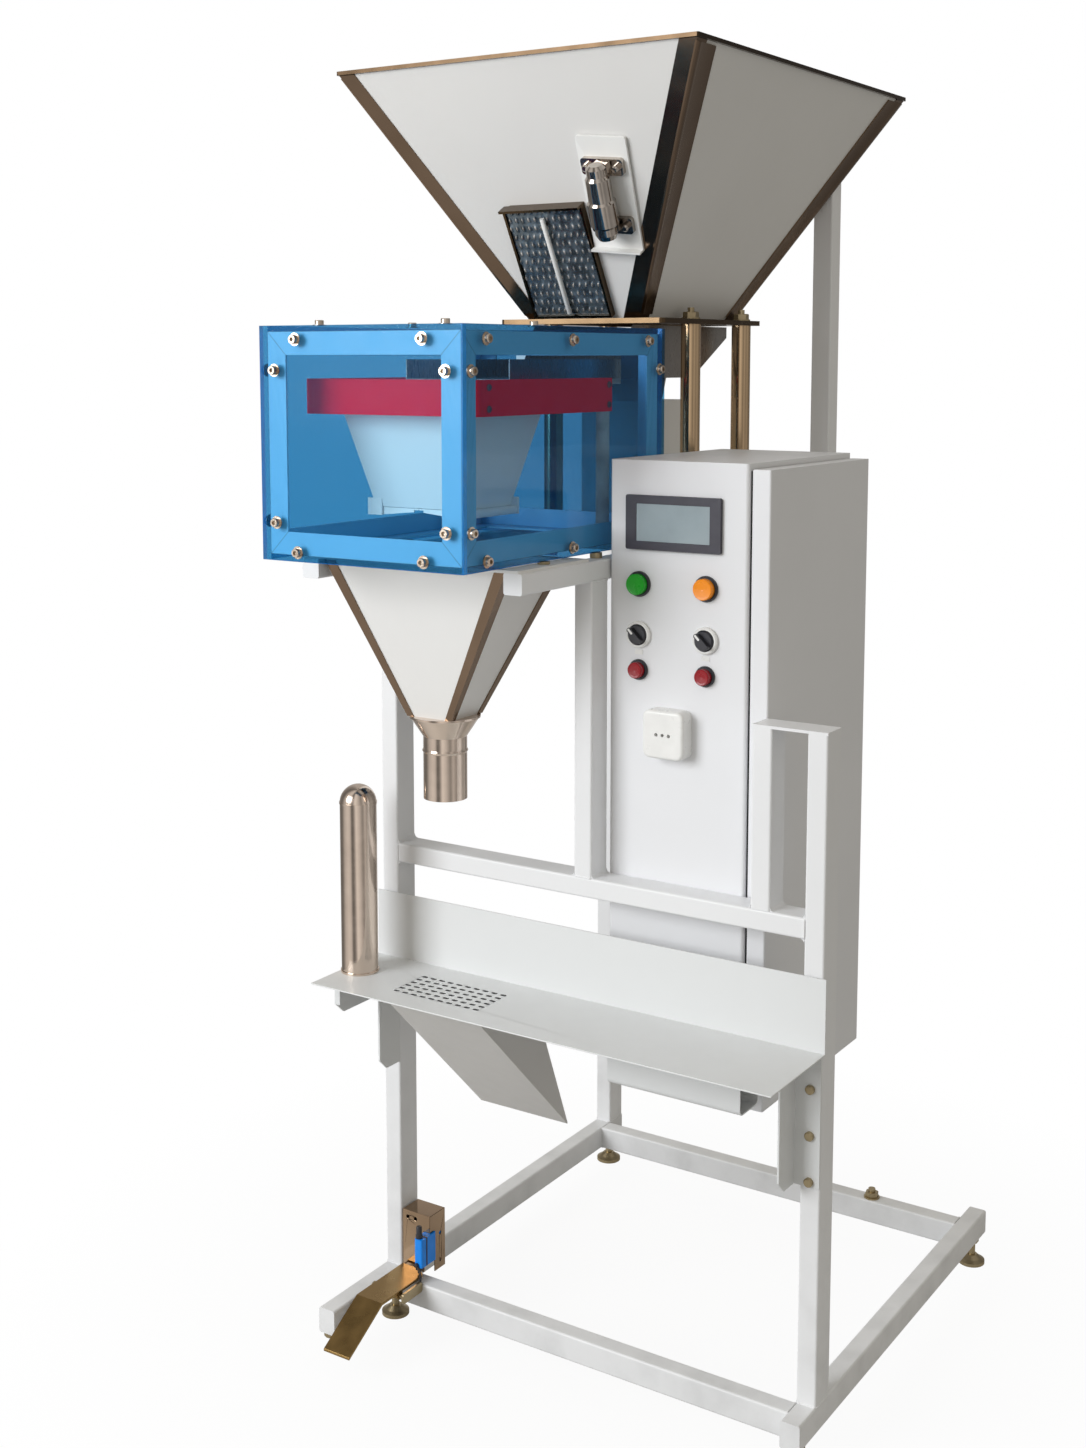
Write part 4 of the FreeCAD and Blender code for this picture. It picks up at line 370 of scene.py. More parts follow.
def level_loop(low, high, z, inset=0.003):
    """Corners round a level outline at one height."""
    x0, x1, y0, y1 = low[0] + inset, high[0] - inset, low[1] + inset, high[1] - inset
    return [(x0, y0 - inset, z), (x1, y0 - inset, z), (x1 + inset, y0, z), (x1 + inset, y1, z),
            (x1, y1 + inset, z), (x0, y1 + inset, z), (x0 - inset, y1, z), (x0 - inset, y0, z)]


def upright_loop(x, y, z, inset=0.003):
    """Corners round a tube that meets a face square to X."""
    y0, y1, z0, z1 = y[0], y[1], z[0], z[1]
    return [(x, y0, z0 + inset), (x, y0 + inset, z0), (x, y1 - inset, z0), (x, y1, z0 + inset),
            (x, y1, z1 - inset), (x, y1 - inset, z1), (x, y0 + inset, z1), (x, y0, z1 - inset)]


REAR_TUBE = (0.036, 0.030)
CROSS_TUBE = 0.03
rail_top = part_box("base_rail_left")[1][2]
mast_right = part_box("mast")[1][0]
cross_low, cross_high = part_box("base_cross_rails")
loops = [level_loop(*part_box(node), rail_top) for node in ("post_left", "post_right", "post_rear_left")]
mast_foot = (mast_right - REAR_TUBE[0], cross_high[1] - REAR_TUBE[1])
loops.append(level_loop(mast_foot, (mast_right, cross_high[1]), rail_top))
bar_low, bar_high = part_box("mid_cross_bar")
for bar_x in (bar_low[0], bar_high[0]):
    loops.append(upright_loop(bar_x, (bar_low[1], bar_high[1]), (bar_low[2], bar_high[2])))
for cross_x in (cross_low[0], cross_high[0]):
    for cross_y in (cross_low[1], cross_high[1] - CROSS_TUBE):
        cross_span = (cross_y, cross_y + CROSS_TUBE)
        loops.append(upright_loop(cross_x, cross_span, (cross_low[2], cross_high[2])))
arm_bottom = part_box("box_arms")[0][2]
loops.append(level_loop(*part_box("post_middle"), bar_high[2]))
loops.append(level_loop(*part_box("post_middle"), arm_bottom))
loops.append(level_loop(*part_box("post_left"), arm_bottom))
add_joined("weld_beads", [weld_bead(loop) for loop in loops], frame_coat, "powder_coat")


def extruded(outline, start, end, hub=None):
    """Flat outline carried in a straight line: the rows are the outline at both ends, and each end
    closes on one hub point from which the whole outline can be seen."""
    outline = np.asarray(outline, float)
    hub = outline.mean(axis=0) if hub is None else np.asarray(hub, float)
    ends = [np.asarray(start, float), np.asarray(end, float)]
    hubs = np.broadcast_to(hub, outline.shape)
    rows = np.stack([hubs + ends[0], outline + ends[0], outline + ends[1], hubs + ends[1]])
    return rows.reshape(-1, 3), quads(4, len(outline))


def ground_corner(x, z, side_x, side_z, y, radius=0.006):
    """Weld ground to a hollow quarter round in the corner of two tubes: a quarter circle whose
    centre stands one radius away from both tubes."""
    angle = np.linspace(-np.pi / 2, -np.pi, 9)
    across = np.concatenate([[0.0], radius + radius * np.cos(angle)])
    up = np.concatenate([[0.0], radius + radius * np.sin(angle)])
    outline = np.stack([x + side_x * across, np.zeros(10), z + side_z * up], axis=1)
    return extruded(outline, (0, y[0], 0), (0, y[1], 0), hub=(x, 0, z))


SHORT_POST = 0.030
FACE_STEP = 0.0012
post_y = (bar_low[1] + FACE_STEP, bar_high[1] - FACE_STEP)
corners = []
middle_low, middle_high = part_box("post_middle")
window_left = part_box("window_frame")[0][0]
for corner_x, side in ((bar_low[0], 1), (middle_low[0], -1), (middle_high[0], 1), (window_left, -1),
                       (window_left + SHORT_POST, 1), (bar_high[0], -1)):
    corners.append(ground_corner(corner_x, bar_high[2], side, 1, post_y))
for corner_x, side in ((bar_low[0], 1), (bar_high[0], -1)):
    corners.append(ground_corner(corner_x, bar_low[2], side, -1, post_y))
add_joined("ground_welds", corners, frame_coat, "powder_coat")


# Levelling feet, tie bolt, and the nuts on the pipes' studs: zinc plated steel, a little yellow.
# The nuts are hexagons, cut back by a chamfer. A glide is pressed in under the left rail's front end.
def turned(centre, axis, profile, sides=24, turn=0.0):
    """Profile of (radius, height) pairs carried round an axis: a point stands at the centre, plus its
    radius times the circle's direction, plus its height along the axis."""
    axis = np.asarray(axis, float) / np.linalg.norm(axis)
    helper = np.array([0, 0, 1.0]) if abs(axis[2]) < 0.9 else np.array([1.0, 0, 0])
    across = np.cross(helper, axis)
    across /= np.linalg.norm(across)
    other = np.cross(axis, across)
    angle = np.linspace(0, 2 * np.pi, sides, endpoint=False) + turn
    circle = np.cos(angle)[:, None] * across + np.sin(angle)[:, None] * other
    radius, height = np.asarray(profile, float).T
    points = np.asarray(centre) + radius[:, None, None] * circle + height[:, None, None] * axis
    return points.reshape(-1, 3), quads(len(radius), sides)


def metal(name, light, dark, roughness, streak=(1, 1, 1), scale=30.0, marks=0.5):
    """Bare metal: a stretched noise for the faint brushed streaks in tone, gloss and height, and a slow
    noise for the darker patches that handling leaves."""
    material, tree, shader, place = new_finish(name, light, roughness, 1.0)
    streaks = noise(tree, place, scale, 4.0, streak)
    patches = noise(tree, place, 7.0, 3.0)
    brushed = ramp(tree, streaks, [(0.3, shade(light, 0.93)), (0.7, light)])
    worn = ramp(tree, streaks, [(0.3, dark), (0.7, shade(dark, 1.25))])
    amount = spread(tree, patches, 0.0, marks, 0.45, 0.75)
    tree.links.new(mixed(tree, amount, brushed, worn), shader.inputs["Base Color"])
    tree.links.new(spread(tree, streaks, roughness * 0.8, roughness * 1.25), shader.inputs["Roughness"])
    relief(tree, shader, streaks, 0.00001, 0.1)
    return material


zinc = metal("zinc_plate", linear(176, 160, 128), linear(104, 90, 68), 0.34, scale=90.0)
dress(zinc, "levelling_feet", "frame_bolts", "pedal_bracket")


def hexagon(centre, axis, across, height, turn=0.0):
    """Nut blank: a six-sided prism whose top edge is cut back by a chamfer."""
    corner = across / math.sqrt(3)
    profile = [(0, 0), (corner, 0), (corner, height * 0.86), (corner * 0.91, height), (0, height)]
    return turned(centre, axis, profile, 6, turn)


FOOT_DISC = 0.022
FOOT_FROM_END = 0.024
REAR_FOOT_Y = -0.260
PIPE = 0.016
TIE_BOLT = (0.2535, 0.371)
SMALL_NUT = (0.0204, 0.0083)
PIPE_NUT = (0.0224, 0.0092)
UP = (0, 0, 1)
GLIDE = [(0, 0), (0.0085, 0), (0.0095, 0.002), (0.0095, 0.008), (0.0075, 0.0105), (0, 0.0105)]
rail_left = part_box("base_rail_left")
rail_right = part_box("base_rail_right")
feet_low, feet_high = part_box("levelling_feet")
plate_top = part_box("flange_plate")[1][2]
pipes_low, pipes_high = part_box("support_pipes")
foot_left, foot_right = feet_low[0] + FOOT_DISC, feet_high[0] - FOOT_DISC
lock_z = rail_left[0][2] - 0.0082
nuts = []
for foot_x, foot_y, turn in ((foot_left, rail_left[1][1] - FOOT_FROM_END, 0.0),
                             (foot_right, rail_left[1][1] - FOOT_FROM_END, 0.0),
                             (foot_left, REAR_FOOT_Y, 0.3),
                             (foot_right, rail_right[0][1] + FOOT_FROM_END, 0.0)):
    nuts.append(hexagon((foot_x, foot_y, lock_z), UP, *SMALL_NUT, turn))
for pipe_x in (pipes_low[0] + PIPE, pipes_high[0] - PIPE):
    for pipe_y in (pipes_low[1] + PIPE, pipes_high[1] - PIPE):
        nuts.append(hexagon((pipe_x, pipe_y, plate_top + 0.0025), UP, *PIPE_NUT, pipe_x * 9))
nuts.append(hexagon((*TIE_BOLT, rail_top + 0.0024), UP, *SMALL_NUT, 0.2))
glide_x = (rail_left[0][0] + rail_left[1][0]) / 2 - 0.004
nuts.append(turned((glide_x, rail_left[0][1] + 0.013, rail_left[0][2]), (0, 0, -1), GLIDE))
add_joined("hexagon_nuts", nuts, zinc, "zinc", smooth=20)


# Packing shelf: one sheet of coated steel folded up along its back, punched with short slots over
# the chute, whose upright slot walls are painted dark as painted shade. Its two brackets are bolted to
# the posts. Below it hang a folded channel and the chute, whose inner faces are painted dark as painted
# shade, and whose rear a pressed plate closes.
shelf_coat = coated("shelf_coat", linear(224, 226, 227), 0.42, dusty=False)
dress(shelf_coat, "shelf_brackets", "shelf_channel")


def darkened(material, amount, overlay_colour):
    """Lay a second colour over a coat where the amount is 1, under a slow noise in its tone: painted shade
    on the slot walls and in the chute, the real bare metal under the red bar, and the darker top band of
    the edge strips.
    """
    tree = material.node_tree
    shader = tree.nodes["Principled BSDF"]
    place = tree.nodes.new("ShaderNodeTexCoord").outputs["Object"]
    dark = ramp(tree, noise(tree, place, 30.0), [(0.3, shade(overlay_colour, 0.6)), (0.7, overlay_colour)])
    plain = shader.inputs["Base Color"].links[0].from_socket
    tree.links.new(mixed(tree, amount, plain, dark), shader.inputs["Base Color"])
    return material


def slot_shade_coat(name, colour, across, back):
    """Coat whose upright faces inside the field of slots, the slot walls, are painted near black as painted
    shade, for the dark seen down through the slots.
    """
    material = coated(name, colour, 0.42, dusty=False)
    tree = material.node_tree
    level = separated(tree, tree.nodes.new("ShaderNodeNewGeometry").outputs["True Normal"])
    amount = spread(tree, worked_out(tree, "ABSOLUTE", level["Z"]), 1.0, 0.0, 0.2, 0.5)
    split = separated(tree, tree.nodes.new("ShaderNodeTexCoord").outputs["Object"])
    for axis, (low, high) in (("X", across), ("Y", back)):
        for operation, limit in (("GREATER_THAN", low), ("LESS_THAN", high)):
            inside = worked_out(tree, operation, split[axis], limit)
            amount = worked_out(tree, "MULTIPLY", amount, inside)
    # Painted shade: the near-black colour laid on the slot walls.
    return darkened(material, amount, linear(30, 30, 30))


SLOTS_ACROSS = (-0.206, -0.038)
SLOTS_BACK = (-0.396, -0.308)
dress(slot_shade_coat("slot_shade_coat", linear(224, 226, 227), SLOTS_ACROSS, SLOTS_BACK), "shelf_tray")


def shaded_inside_coat(name, colour, overlay_colour, axis, full, none):
    """Coat painted dark on its inner faces as painted shade, where little light reaches: the factor is the
    surface's own normal along one axis, from where the painted shade is full to where there is none."""
    material = coated(name, colour, 0.42, dusty=False)
    tree = material.node_tree
    split = separated(tree, tree.nodes.new("ShaderNodeNewGeometry").outputs["True Normal"])
    return darkened(material, spread(tree, split[axis], 1.0, 0.0, full, none), overlay_colour)


CHUTE_COAT = linear(214, 212, 209)
# The colour below is painted shade, laid on the inner faces of the chute and of its back plate.
CHUTE_PAINTED_SHADE = linear(34, 34, 34)
dress(shaded_inside_coat("chute_coat", CHUTE_COAT, CHUTE_PAINTED_SHADE, "Z", 0.4, 0.2), "spill_chute")
soften(0.0006, "shelf_brackets", "spill_chute", "shelf_tray")
CHEEK_D = 0.1176
CHEEK_H = 0.061
CHEEK_CUT = (0.017, 0.016)
FOLD_D = 0.003
PROUD = 0.0004
tray_low, tray_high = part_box("shelf_tray")
cheek_x = tray_low[0] + 0.006
shelf_under = tray_low[2]
cheek_back = tray_high[1]
cheek_front = cheek_back - CHEEK_D
cheek_low = shelf_under - CHEEK_H
cut_top = cheek_low + CHEEK_CUT[1]
cheek = [(0, cheek_back, cheek_low), (0, cheek_front + CHEEK_CUT[0], cheek_low),
         (0, cheek_front, cut_top), (0, cheek_front, shelf_under), (0, cheek_back, shelf_under)]
fold = [(0, cheek_front - PROUD, cut_top), (0, cheek_front + FOLD_D, cut_top),
        (0, cheek_front + FOLD_D, shelf_under), (0, cheek_front - PROUD, shelf_under)]
cheek_parts = [extruded(outline, (cheek_x - PROUD, 0, 0), (cheek_x + reach, 0, 0))
               for outline, reach in ((cheek, 0.0034), (fold, 0.0096))]
add_joined("left_cheek", cheek_parts, shelf_coat, "powder_coat")


def ribbed_plate(x, y, z, thick, rib, columns=90):
    """Sheet that leans from one edge to the other, with three pressed ribs: its front and back run side
    by side as a sine of the distance across, raised to a power, and the sheet's four corners are
    carried across the width. The ends close on the middle of the sheet."""
    across = np.linspace(x[0], x[1], columns)
    middle = rib * np.sin((across - x[0]) / (x[1] - x[0]) * 3 * np.pi) ** 4
    half = np.concatenate([[0.0], np.full(columns, thick / 2), [0.0]])
    across, middle = np.pad(across, 1, "edge"), np.pad(middle, 1, "edge")
    corners = [(-1, 0), (-1, 1), (1, 1), (1, 0), (-1, 0)]
    rows = [np.stack([across, y[end] + middle + side * half, np.full(columns + 2, z[end])], axis=1)
            for side, end in corners]
    return np.concatenate(rows), quads(5, columns + 2, closed=False)


BACK_PLATE = 0.0015
BACK_RIB = 0.0016
CHEEK_GAP = 0.0026
chute_low, chute_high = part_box("spill_chute")
back_x = (chute_low[0] + CHEEK_GAP, chute_high[0] - CHEEK_GAP)
back_y = (chute_high[1] - 0.0150, chute_high[1] - 0.1125)
back_z = (chute_low[2] + 0.0200, shelf_under - 0.0006)
back_points, back_faces = ribbed_plate(back_x, back_y, back_z, BACK_PLATE, BACK_RIB)
# The back plate's inner face, which faces forward, is painted dark as painted shade.
back_coat = shaded_inside_coat("chute_back_coat", CHUTE_COAT, CHUTE_PAINTED_SHADE, "Y", -0.8, -0.5)
add_piece("chute_back", back_points, back_faces, back_coat, "powder_coat")


# Domed tube: stainless, turned and polished, with a weld bead at its foot and under its dome.
tube_steel = metal("polished_tube", linear(220, 203, 188), linear(140, 120, 104), 0.15, scale=60.0,
                   marks=0.15)
dress(tube_steel, "sample_tube", "spout")


# Foot pedal: bent steel plate, yellow passivated and scuffed, on a pin. Its rear edge lifts the
# black push rod of a blue limit switch, which sits in a folded stainless hood.
pedal_steel = metal("passivated_plate", linear(152, 124, 80), linear(100, 78, 48), 0.3, marks=0.45)
dress(pedal_steel, "pedal")
hood_steel = metal("hood_stainless", linear(176, 150, 124), linear(104, 84, 64), 0.1, scale=9.0, marks=0.45)
dress(hood_steel, "switch_guard")
soften(0.0008, "switch_guard", "pedal")


def moulded(name, colour, roughness=0.4, grain=0.00003):
    """Moulded plastic: a quick noise for the die's grain, a slow one for the drift in tone and gloss."""
    material, tree, shader, place = new_finish(name, colour, roughness)
    tone = ramp(tree, noise(tree, place, 25.0), [(0.3, shade(colour, 0.9)), (0.7, colour)])
    tree.links.new(tone, shader.inputs["Base Color"])
    gloss = spread(tree, noise(tree, place, 90.0), roughness - 0.07, roughness + 0.09)
    tree.links.new(gloss, shader.inputs["Roughness"])
    relief(tree, shader, noise(tree, place, 1600.0, 2.0), grain)
    return material


dress(moulded("switch_plastic", linear(0, 140, 250), 0.38), "limit_switch")
black_plastic = moulded("black_plastic", linear(44, 44, 50), 0.38)
dress(black_plastic, "switch_rod", "operator_bezels", "selector_left", "selector_right")


def rounded_outline(x, z, radius, y):
    """Rectangle with quarter circles at its corners, as one closed run."""
    turn = np.linspace(0, np.pi / 2, 7)
    centres = [(x[1] - radius, z[1] - radius), (x[0] + radius, z[1] - radius),
               (x[0] + radius, z[0] + radius), (x[1] - radius, z[0] + radius)]
    runs = []
    for quarter, (centre_x, centre_z) in enumerate(centres):
        angle = turn + quarter * np.pi / 2
        across, up = centre_x + radius * np.cos(angle), centre_z + radius * np.sin(angle)
        runs.append(np.stack([across, np.full(7, y), up], axis=1))
    return np.concatenate(runs)


GUIDE_H = 0.005
BODY_W = 0.015
CAP_H = 0.019
ROD_HOLE = 0.0036
switch_low, switch_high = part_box("limit_switch")
rod_low, rod_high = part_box("switch_rod")
rod_x, rod_y = (rod_low[0] + rod_high[0]) / 2, (rod_low[1] + rod_high[1]) / 2
body_x = (switch_low[0] - PROUD, switch_low[0] + BODY_W + PROUD)
body_z = (switch_low[2] + GUIDE_H - PROUD, switch_high[2] - GUIDE_H + PROUD)
seam_y = switch_low[1] + 0.0115
seam = extruded(rounded_outline(body_x, body_z, 0.001, 0.0), (0, seam_y, 0), (0, seam_y + 0.003, 0))
boot_profile = [(ROD_HOLE, 0), (0.0056, 0), (0.0056, 0.0055), (0.0046, 0.0065), (0.0046, CAP_H - 0.001),
                (0.0038, CAP_H), (0, CAP_H), (0, CAP_H - 0.001), (ROD_HOLE, CAP_H - 0.001), (ROD_HOLE, 0)]
boot = turned((rod_x, rod_y, body_z[1]), UP, boot_profile)
foot_h = GUIDE_H + 0.0006
foot_profile = [(ROD_HOLE, 0), (0.0058, 0), (0.0058, foot_h), (ROD_HOLE, foot_h), (ROD_HOLE, 0)]
foot = turned((rod_x, rod_y, switch_low[2] - PROUD), UP, foot_profile)
arm_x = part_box("pedal")[1][0] + 0.0012
arm_top = switch_low[2] + 0.010
bend_z, tip_z = arm_top - 0.013, arm_top - 0.030
lever = [(rod_x - 0.002, 0, arm_top), (rod_x + 0.003, 0, arm_top), (arm_x + 0.003, 0, bend_z),
         (arm_x + 0.0026, 0, tip_z), (arm_x, 0, tip_z), (arm_x, 0, bend_z)]
front_y = switch_low[1]
leaf_hub = (arm_x + 0.0005, 0, arm_top - 0.0125)
leaf = extruded(lever, (0, front_y - 0.0034, 0), (0, front_y - 0.0014, 0), hub=leaf_hub)
pivot_profile = [(0, 0), (0.0034, 0), (0.0034, 0.0042), (0.0028, 0.0048), (0, 0.0048)]
pivot = turned((rod_x, front_y, arm_top - 0.001), (0, -1, 0), pivot_profile)
add_joined("switch_fittings", [seam, boot, foot, leaf, pivot], black_plastic, "black_plastic")


# Funnel and hopper: four folded sheets each, with a matt coat, edged with stainless angles. The
# funnel's flange lies on the arms, and a turned collar leads to the spout.
panel_coat = coated("matt_panel", linear(227, 226, 224), 0.5, dusty=False)
dress(panel_coat, "funnel_shell", "hopper_shell")
edge_steel = metal("edge_strip", linear(134, 114, 96), linear(84, 68, 54), 0.19, marks=0.35)
dress(edge_steel, "funnel_strips", "hopper_trim")
dull_steel = metal("dull_edge", linear(92, 76, 58), linear(60, 48, 36), 0.22, marks=0.3)
dress(dull_steel, "flange_plate")


def by_height(tree, low, high, start, end):
    """Factor that changes from one value to the other between two heights."""
    split = separated(tree, tree.nodes.new("ShaderNodeTexCoord").outputs["Object"])
    return spread(tree, split["Z"], low, high, start, end)


RIM_LINE = (1.9690, 1.9694)
darkened(edge_steel, by_height(edge_steel.node_tree, 0.0, 1.0, *RIM_LINE), linear(78, 64, 50))


HOPPER_MIDDLE = (-0.1235, 0.1795)
HOPPER_LEVELS = (1.594, 1.976)
HOPPER_HALF = ((0.1015, 0.1565), (0.318, 0.3745))
FOLD_WIDTHS = (0.036, 0.058)


def corner_fold(side_x, side_y):
    """Wide leg of a corner angle, on a side wall: its section has a low rounded rib near the corner and
    is carried up the wall in a straight line while its width grows."""
    share = np.linspace(0.02, 0.975, 12)[:, None]
    half_x = HOPPER_HALF[0][0] + share * (HOPPER_HALF[1][0] - HOPPER_HALF[0][0])
    half_y = HOPPER_HALF[0][1] + share * (HOPPER_HALF[1][1] - HOPPER_HALF[0][1])
    level = HOPPER_LEVELS[0] + share * (HOPPER_LEVELS[1] - HOPPER_LEVELS[0])
    width = FOLD_WIDTHS[0] + share * (FOLD_WIDTHS[1] - FOLD_WIDTHS[0])
    lean = math.atan2(HOPPER_HALF[1][0] - HOPPER_HALF[0][0], HOPPER_LEVELS[1] - HOPPER_LEVELS[0])
    rib = np.linspace(0, 1, 7)
    inward = np.concatenate([[0.0], 0.30 * rib, [1.0, 1.0]])
    off = np.concatenate([[0.0], 0.0028 + 0.0012 * np.sin(np.pi * rib), [0.0028, 0.0]])
    x = HOPPER_MIDDLE[0] + side_x * (half_x + off * math.cos(lean))
    y = HOPPER_MIDDLE[1] + side_y * (half_y + 0.0022 - width * inward)
    z = level - off * math.sin(lean)
    rows = np.stack([x, y, z + 0 * x], axis=-1)
    ends = [np.broadcast_to(rows[row].mean(axis=0), rows[row].shape) for row in (0, -1)]
    rows = np.concatenate([ends[0][None], rows, ends[1][None]])
    return rows.reshape(-1, 3), quads(len(rows), rows.shape[1])


folds = [corner_fold(side_x, side_y) for side_x in (-1, 1) for side_y in (-1, 1)]
add_joined("hopper_folds", folds, edge_steel, "stainless", smooth=60)


# Weighing box: clear blue acrylic sheets, screwed on a frame of light blue folded angles with cap
# screws, and standing on turned spacers.
SEEN_IN_METAL = (0.50, 0.58, 0.64)
SAWN_SHARE = 0.04


def clear_sheet(name, tint, edge, thick_axis):
    """Tinted clear sheet. Each of its two faces passes the square root of the tint and shines more as
    it turns away, and light that falls in passes freely. Sawn edges, which face across the sheet's
    thickness where one is named, are a bright deep blue."""
    material, tree, shader, place = new_finish(name, edge, 0.25)
    sawn_tone = ramp(tree, noise(tree, place, 50.0), [(0.3, shade(edge, 0.8)), (0.7, edge)])
    tree.links.new(sawn_tone, shader.inputs["Base Color"])
    path = tree.nodes.new("ShaderNodeLightPath")
    clear = tree.nodes.new("ShaderNodeBsdfTransparent")
    mirrored = tree.nodes.new("ShaderNodeRGB").outputs[0]
    mirrored.default_value = (*SEEN_IN_METAL, 1)
    face_tint = tuple(channel ** 0.5 for channel in tint)
    passed = switched(tree, path.outputs["Is Glossy Ray"], face_tint, mirrored)
    tree.links.new(passed, clear.inputs["Color"])
    gloss = tree.nodes.new("ShaderNodeBsdfGlossy")
    tree.links.new(spread(tree, noise(tree, place, 9.0, 4.0), 0.03, 0.12), gloss.inputs["Roughness"])
    turned_away = tree.nodes.new("ShaderNodeLayerWeight").outputs["Facing"]
    sheet = tree.nodes.new("ShaderNodeMixShader")
    tree.links.new(spread(tree, turned_away, 0.001, 0.2, 0.35, 1.0), sheet.inputs["Fac"])
    tree.links.new(clear.outputs["BSDF"], sheet.inputs[1])
    tree.links.new(gloss.outputs["BSDF"], sheet.inputs[2])
    edged = tree.nodes.new("ShaderNodeMixShader")
    edged.inputs["Fac"].default_value = SAWN_SHARE
    if thick_axis is not None:
        split = separated(tree, tree.nodes.new("ShaderNodeNewGeometry").outputs["True Normal"])
        across = worked_out(tree, "ABSOLUTE", split[thick_axis])
        tree.links.new(spread(tree, across, 0.9, SAWN_SHARE, 0.2, 0.5), edged.inputs["Fac"])
    tree.links.new(sheet.outputs["Shader"], edged.inputs[1])
    tree.links.new(shader.outputs["BSDF"], edged.inputs[2])
    free = worked_out(tree, "MAXIMUM", path.outputs["Is Shadow Ray"], path.outputs["Is Diffuse Ray"])
    through = tree.nodes.new("ShaderNodeBsdfTransparent")
    final = tree.nodes.new("ShaderNodeMixShader")
    tree.links.new(free, final.inputs["Fac"])
    tree.links.new(edged.outputs["Shader"], final.inputs[1])
    tree.links.new(through.outputs["BSDF"], final.inputs[2])
    tree.links.new(final.outputs["Shader"], tree.nodes["Material Output"].inputs["Surface"])
    return material


EDGE_BLUE = linear(0, 148, 240)
dress(clear_sheet("front_acrylic", (0.50, 0.79, 0.94), EDGE_BLUE, "Y"), "box_front_panel")
# The side sheet is the same acrylic as the front; its darker, greyer tint is painted shade and painted
# reflection of the room.
dress(clear_sheet("side_acrylic_painted_shade", (0.36, 0.56, 0.72), EDGE_BLUE, "X"), "box_right_panel")
dress(clear_sheet("rear_acrylic", (0.08, 0.29, 0.47), EDGE_BLUE, None), "box_cover_panels")


def mitred_angle(name, colour):
    """Coated angle with its mitre lines: each line runs where the distances to two outer faces of the
    frame are equal, and is darkened within half a millimetre."""
    material = coated(name, colour, 0.4, dusty=False)
    tree = material.node_tree
    shader = tree.nodes["Principled BSDF"]
    place = tree.nodes.new("ShaderNodeTexCoord").outputs["Object"]
    low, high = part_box("box_frame")
    split = separated(tree, place)
    depth = []
    for axis in range(3):
        centred = worked_out(tree, "SUBTRACT", split[axis], float(low[axis] + high[axis]) / 2)
        away = worked_out(tree, "ABSOLUTE", centred)
        depth.append(worked_out(tree, "SUBTRACT", away, float(high[axis] - low[axis]) / 2))
    lines = []
    for first, second in ((0, 1), (0, 2), (1, 2)):
        near = worked_out(tree, "ABSOLUTE", worked_out(tree, "SUBTRACT", depth[first], depth[second]))
        lines.append(spread(tree, near, 1.0, 0.0, 0.0003, 0.0009))
    line = worked_out(tree, "MAXIMUM", worked_out(tree, "MAXIMUM", lines[0], lines[1]), lines[2])
    plain = shader.inputs["Base Color"].links[0].from_socket
    dark = ramp(tree, noise(tree, place, 50.0), [(0.3, shade(colour, 0.3)), (0.7, shade(colour, 0.45))])
    tree.links.new(mixed(tree, line, plain, dark), shader.inputs["Base Color"])
    return material


dress(mitred_angle("light_blue_angle", (0.11, 0.45, 0.80)), "box_frame")


def cap_screw(place, out, radius=0.0062, height=0.0078):
    """Cap screw on a washer: a turned head whose last rows fall into a six-sided socket. The socket's
    radius is that of a hexagon, the cosine of 30 degrees over the cosine of the angle from its side."""
    washer = 0.0014
    profile = [(0, 0), (radius * 1.45, 0), (radius * 1.45, washer), (radius, washer),
               (radius, height * 0.9), (radius * 0.9, height), (radius * 0.56, height),
               (radius * 0.52, height * 0.55), (0, height * 0.5)]
    points, faces = turned(place, out, profile, 24)
    rows = points.reshape(len(profile), 24, 3)
    angle = np.linspace(0, 2 * np.pi, 24, endpoint=False)
    six = math.cos(math.pi / 6) / np.cos(np.mod(angle, np.pi / 3) - np.pi / 6)
    centre = rows.mean(axis=1, keepdims=True)
    rows[6:8] = centre[6:8] + (rows[6:8] - centre[6:8]) * six[None, :, None]
    return rows.reshape(-1, 3), faces


FRONT_PITCH = 0.108
SIDE_PITCH = 0.212
OUTER_ROWS = (0.013, 0.019)
INNER_ROWS = (0.053, 0.061)


def box_screw_places():
    """Head places on the front, both sides and the top: two outer rows near the sheets' edges, and an
    inner row on each side, all measured from the outer faces and from the middle."""
    front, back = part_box("box_front_panel")[0][1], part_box("box_cover_panels")[1][1]
    (left, _, bottom), (right, _, top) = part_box("box_front_panel")
    middle_x, middle_y = (left + right) / 2, (front + back) / 2
    low, high = bottom + OUTER_ROWS[0], top - OUTER_ROWS[1]
    inner_low, inner_high = bottom + INNER_ROWS[0], top - INNER_ROWS[1]
    places = []
    for x in (middle_x - FRONT_PITCH, middle_x + FRONT_PITCH):
        places += [((x, front, z), (0, -1, 0)) for z in (low, high)]
        places += [((x, y, top), UP) for y in (middle_y - SIDE_PITCH, middle_y)]
    for side, face in ((-1, left), (1, right)):
        for z in (inner_low, inner_high):
            places.append(((face - side * 0.027, front, z), (0, -1, 0)))
            places += [((face, y, z), (side, 0, 0)) for y in (front + 0.017, back - 0.017)]
        for y in (middle_y - SIDE_PITCH, middle_y, middle_y + SIDE_PITCH):
            places += [((face, y, z), (side, 0, 0)) for z in (low, high)]
    return places


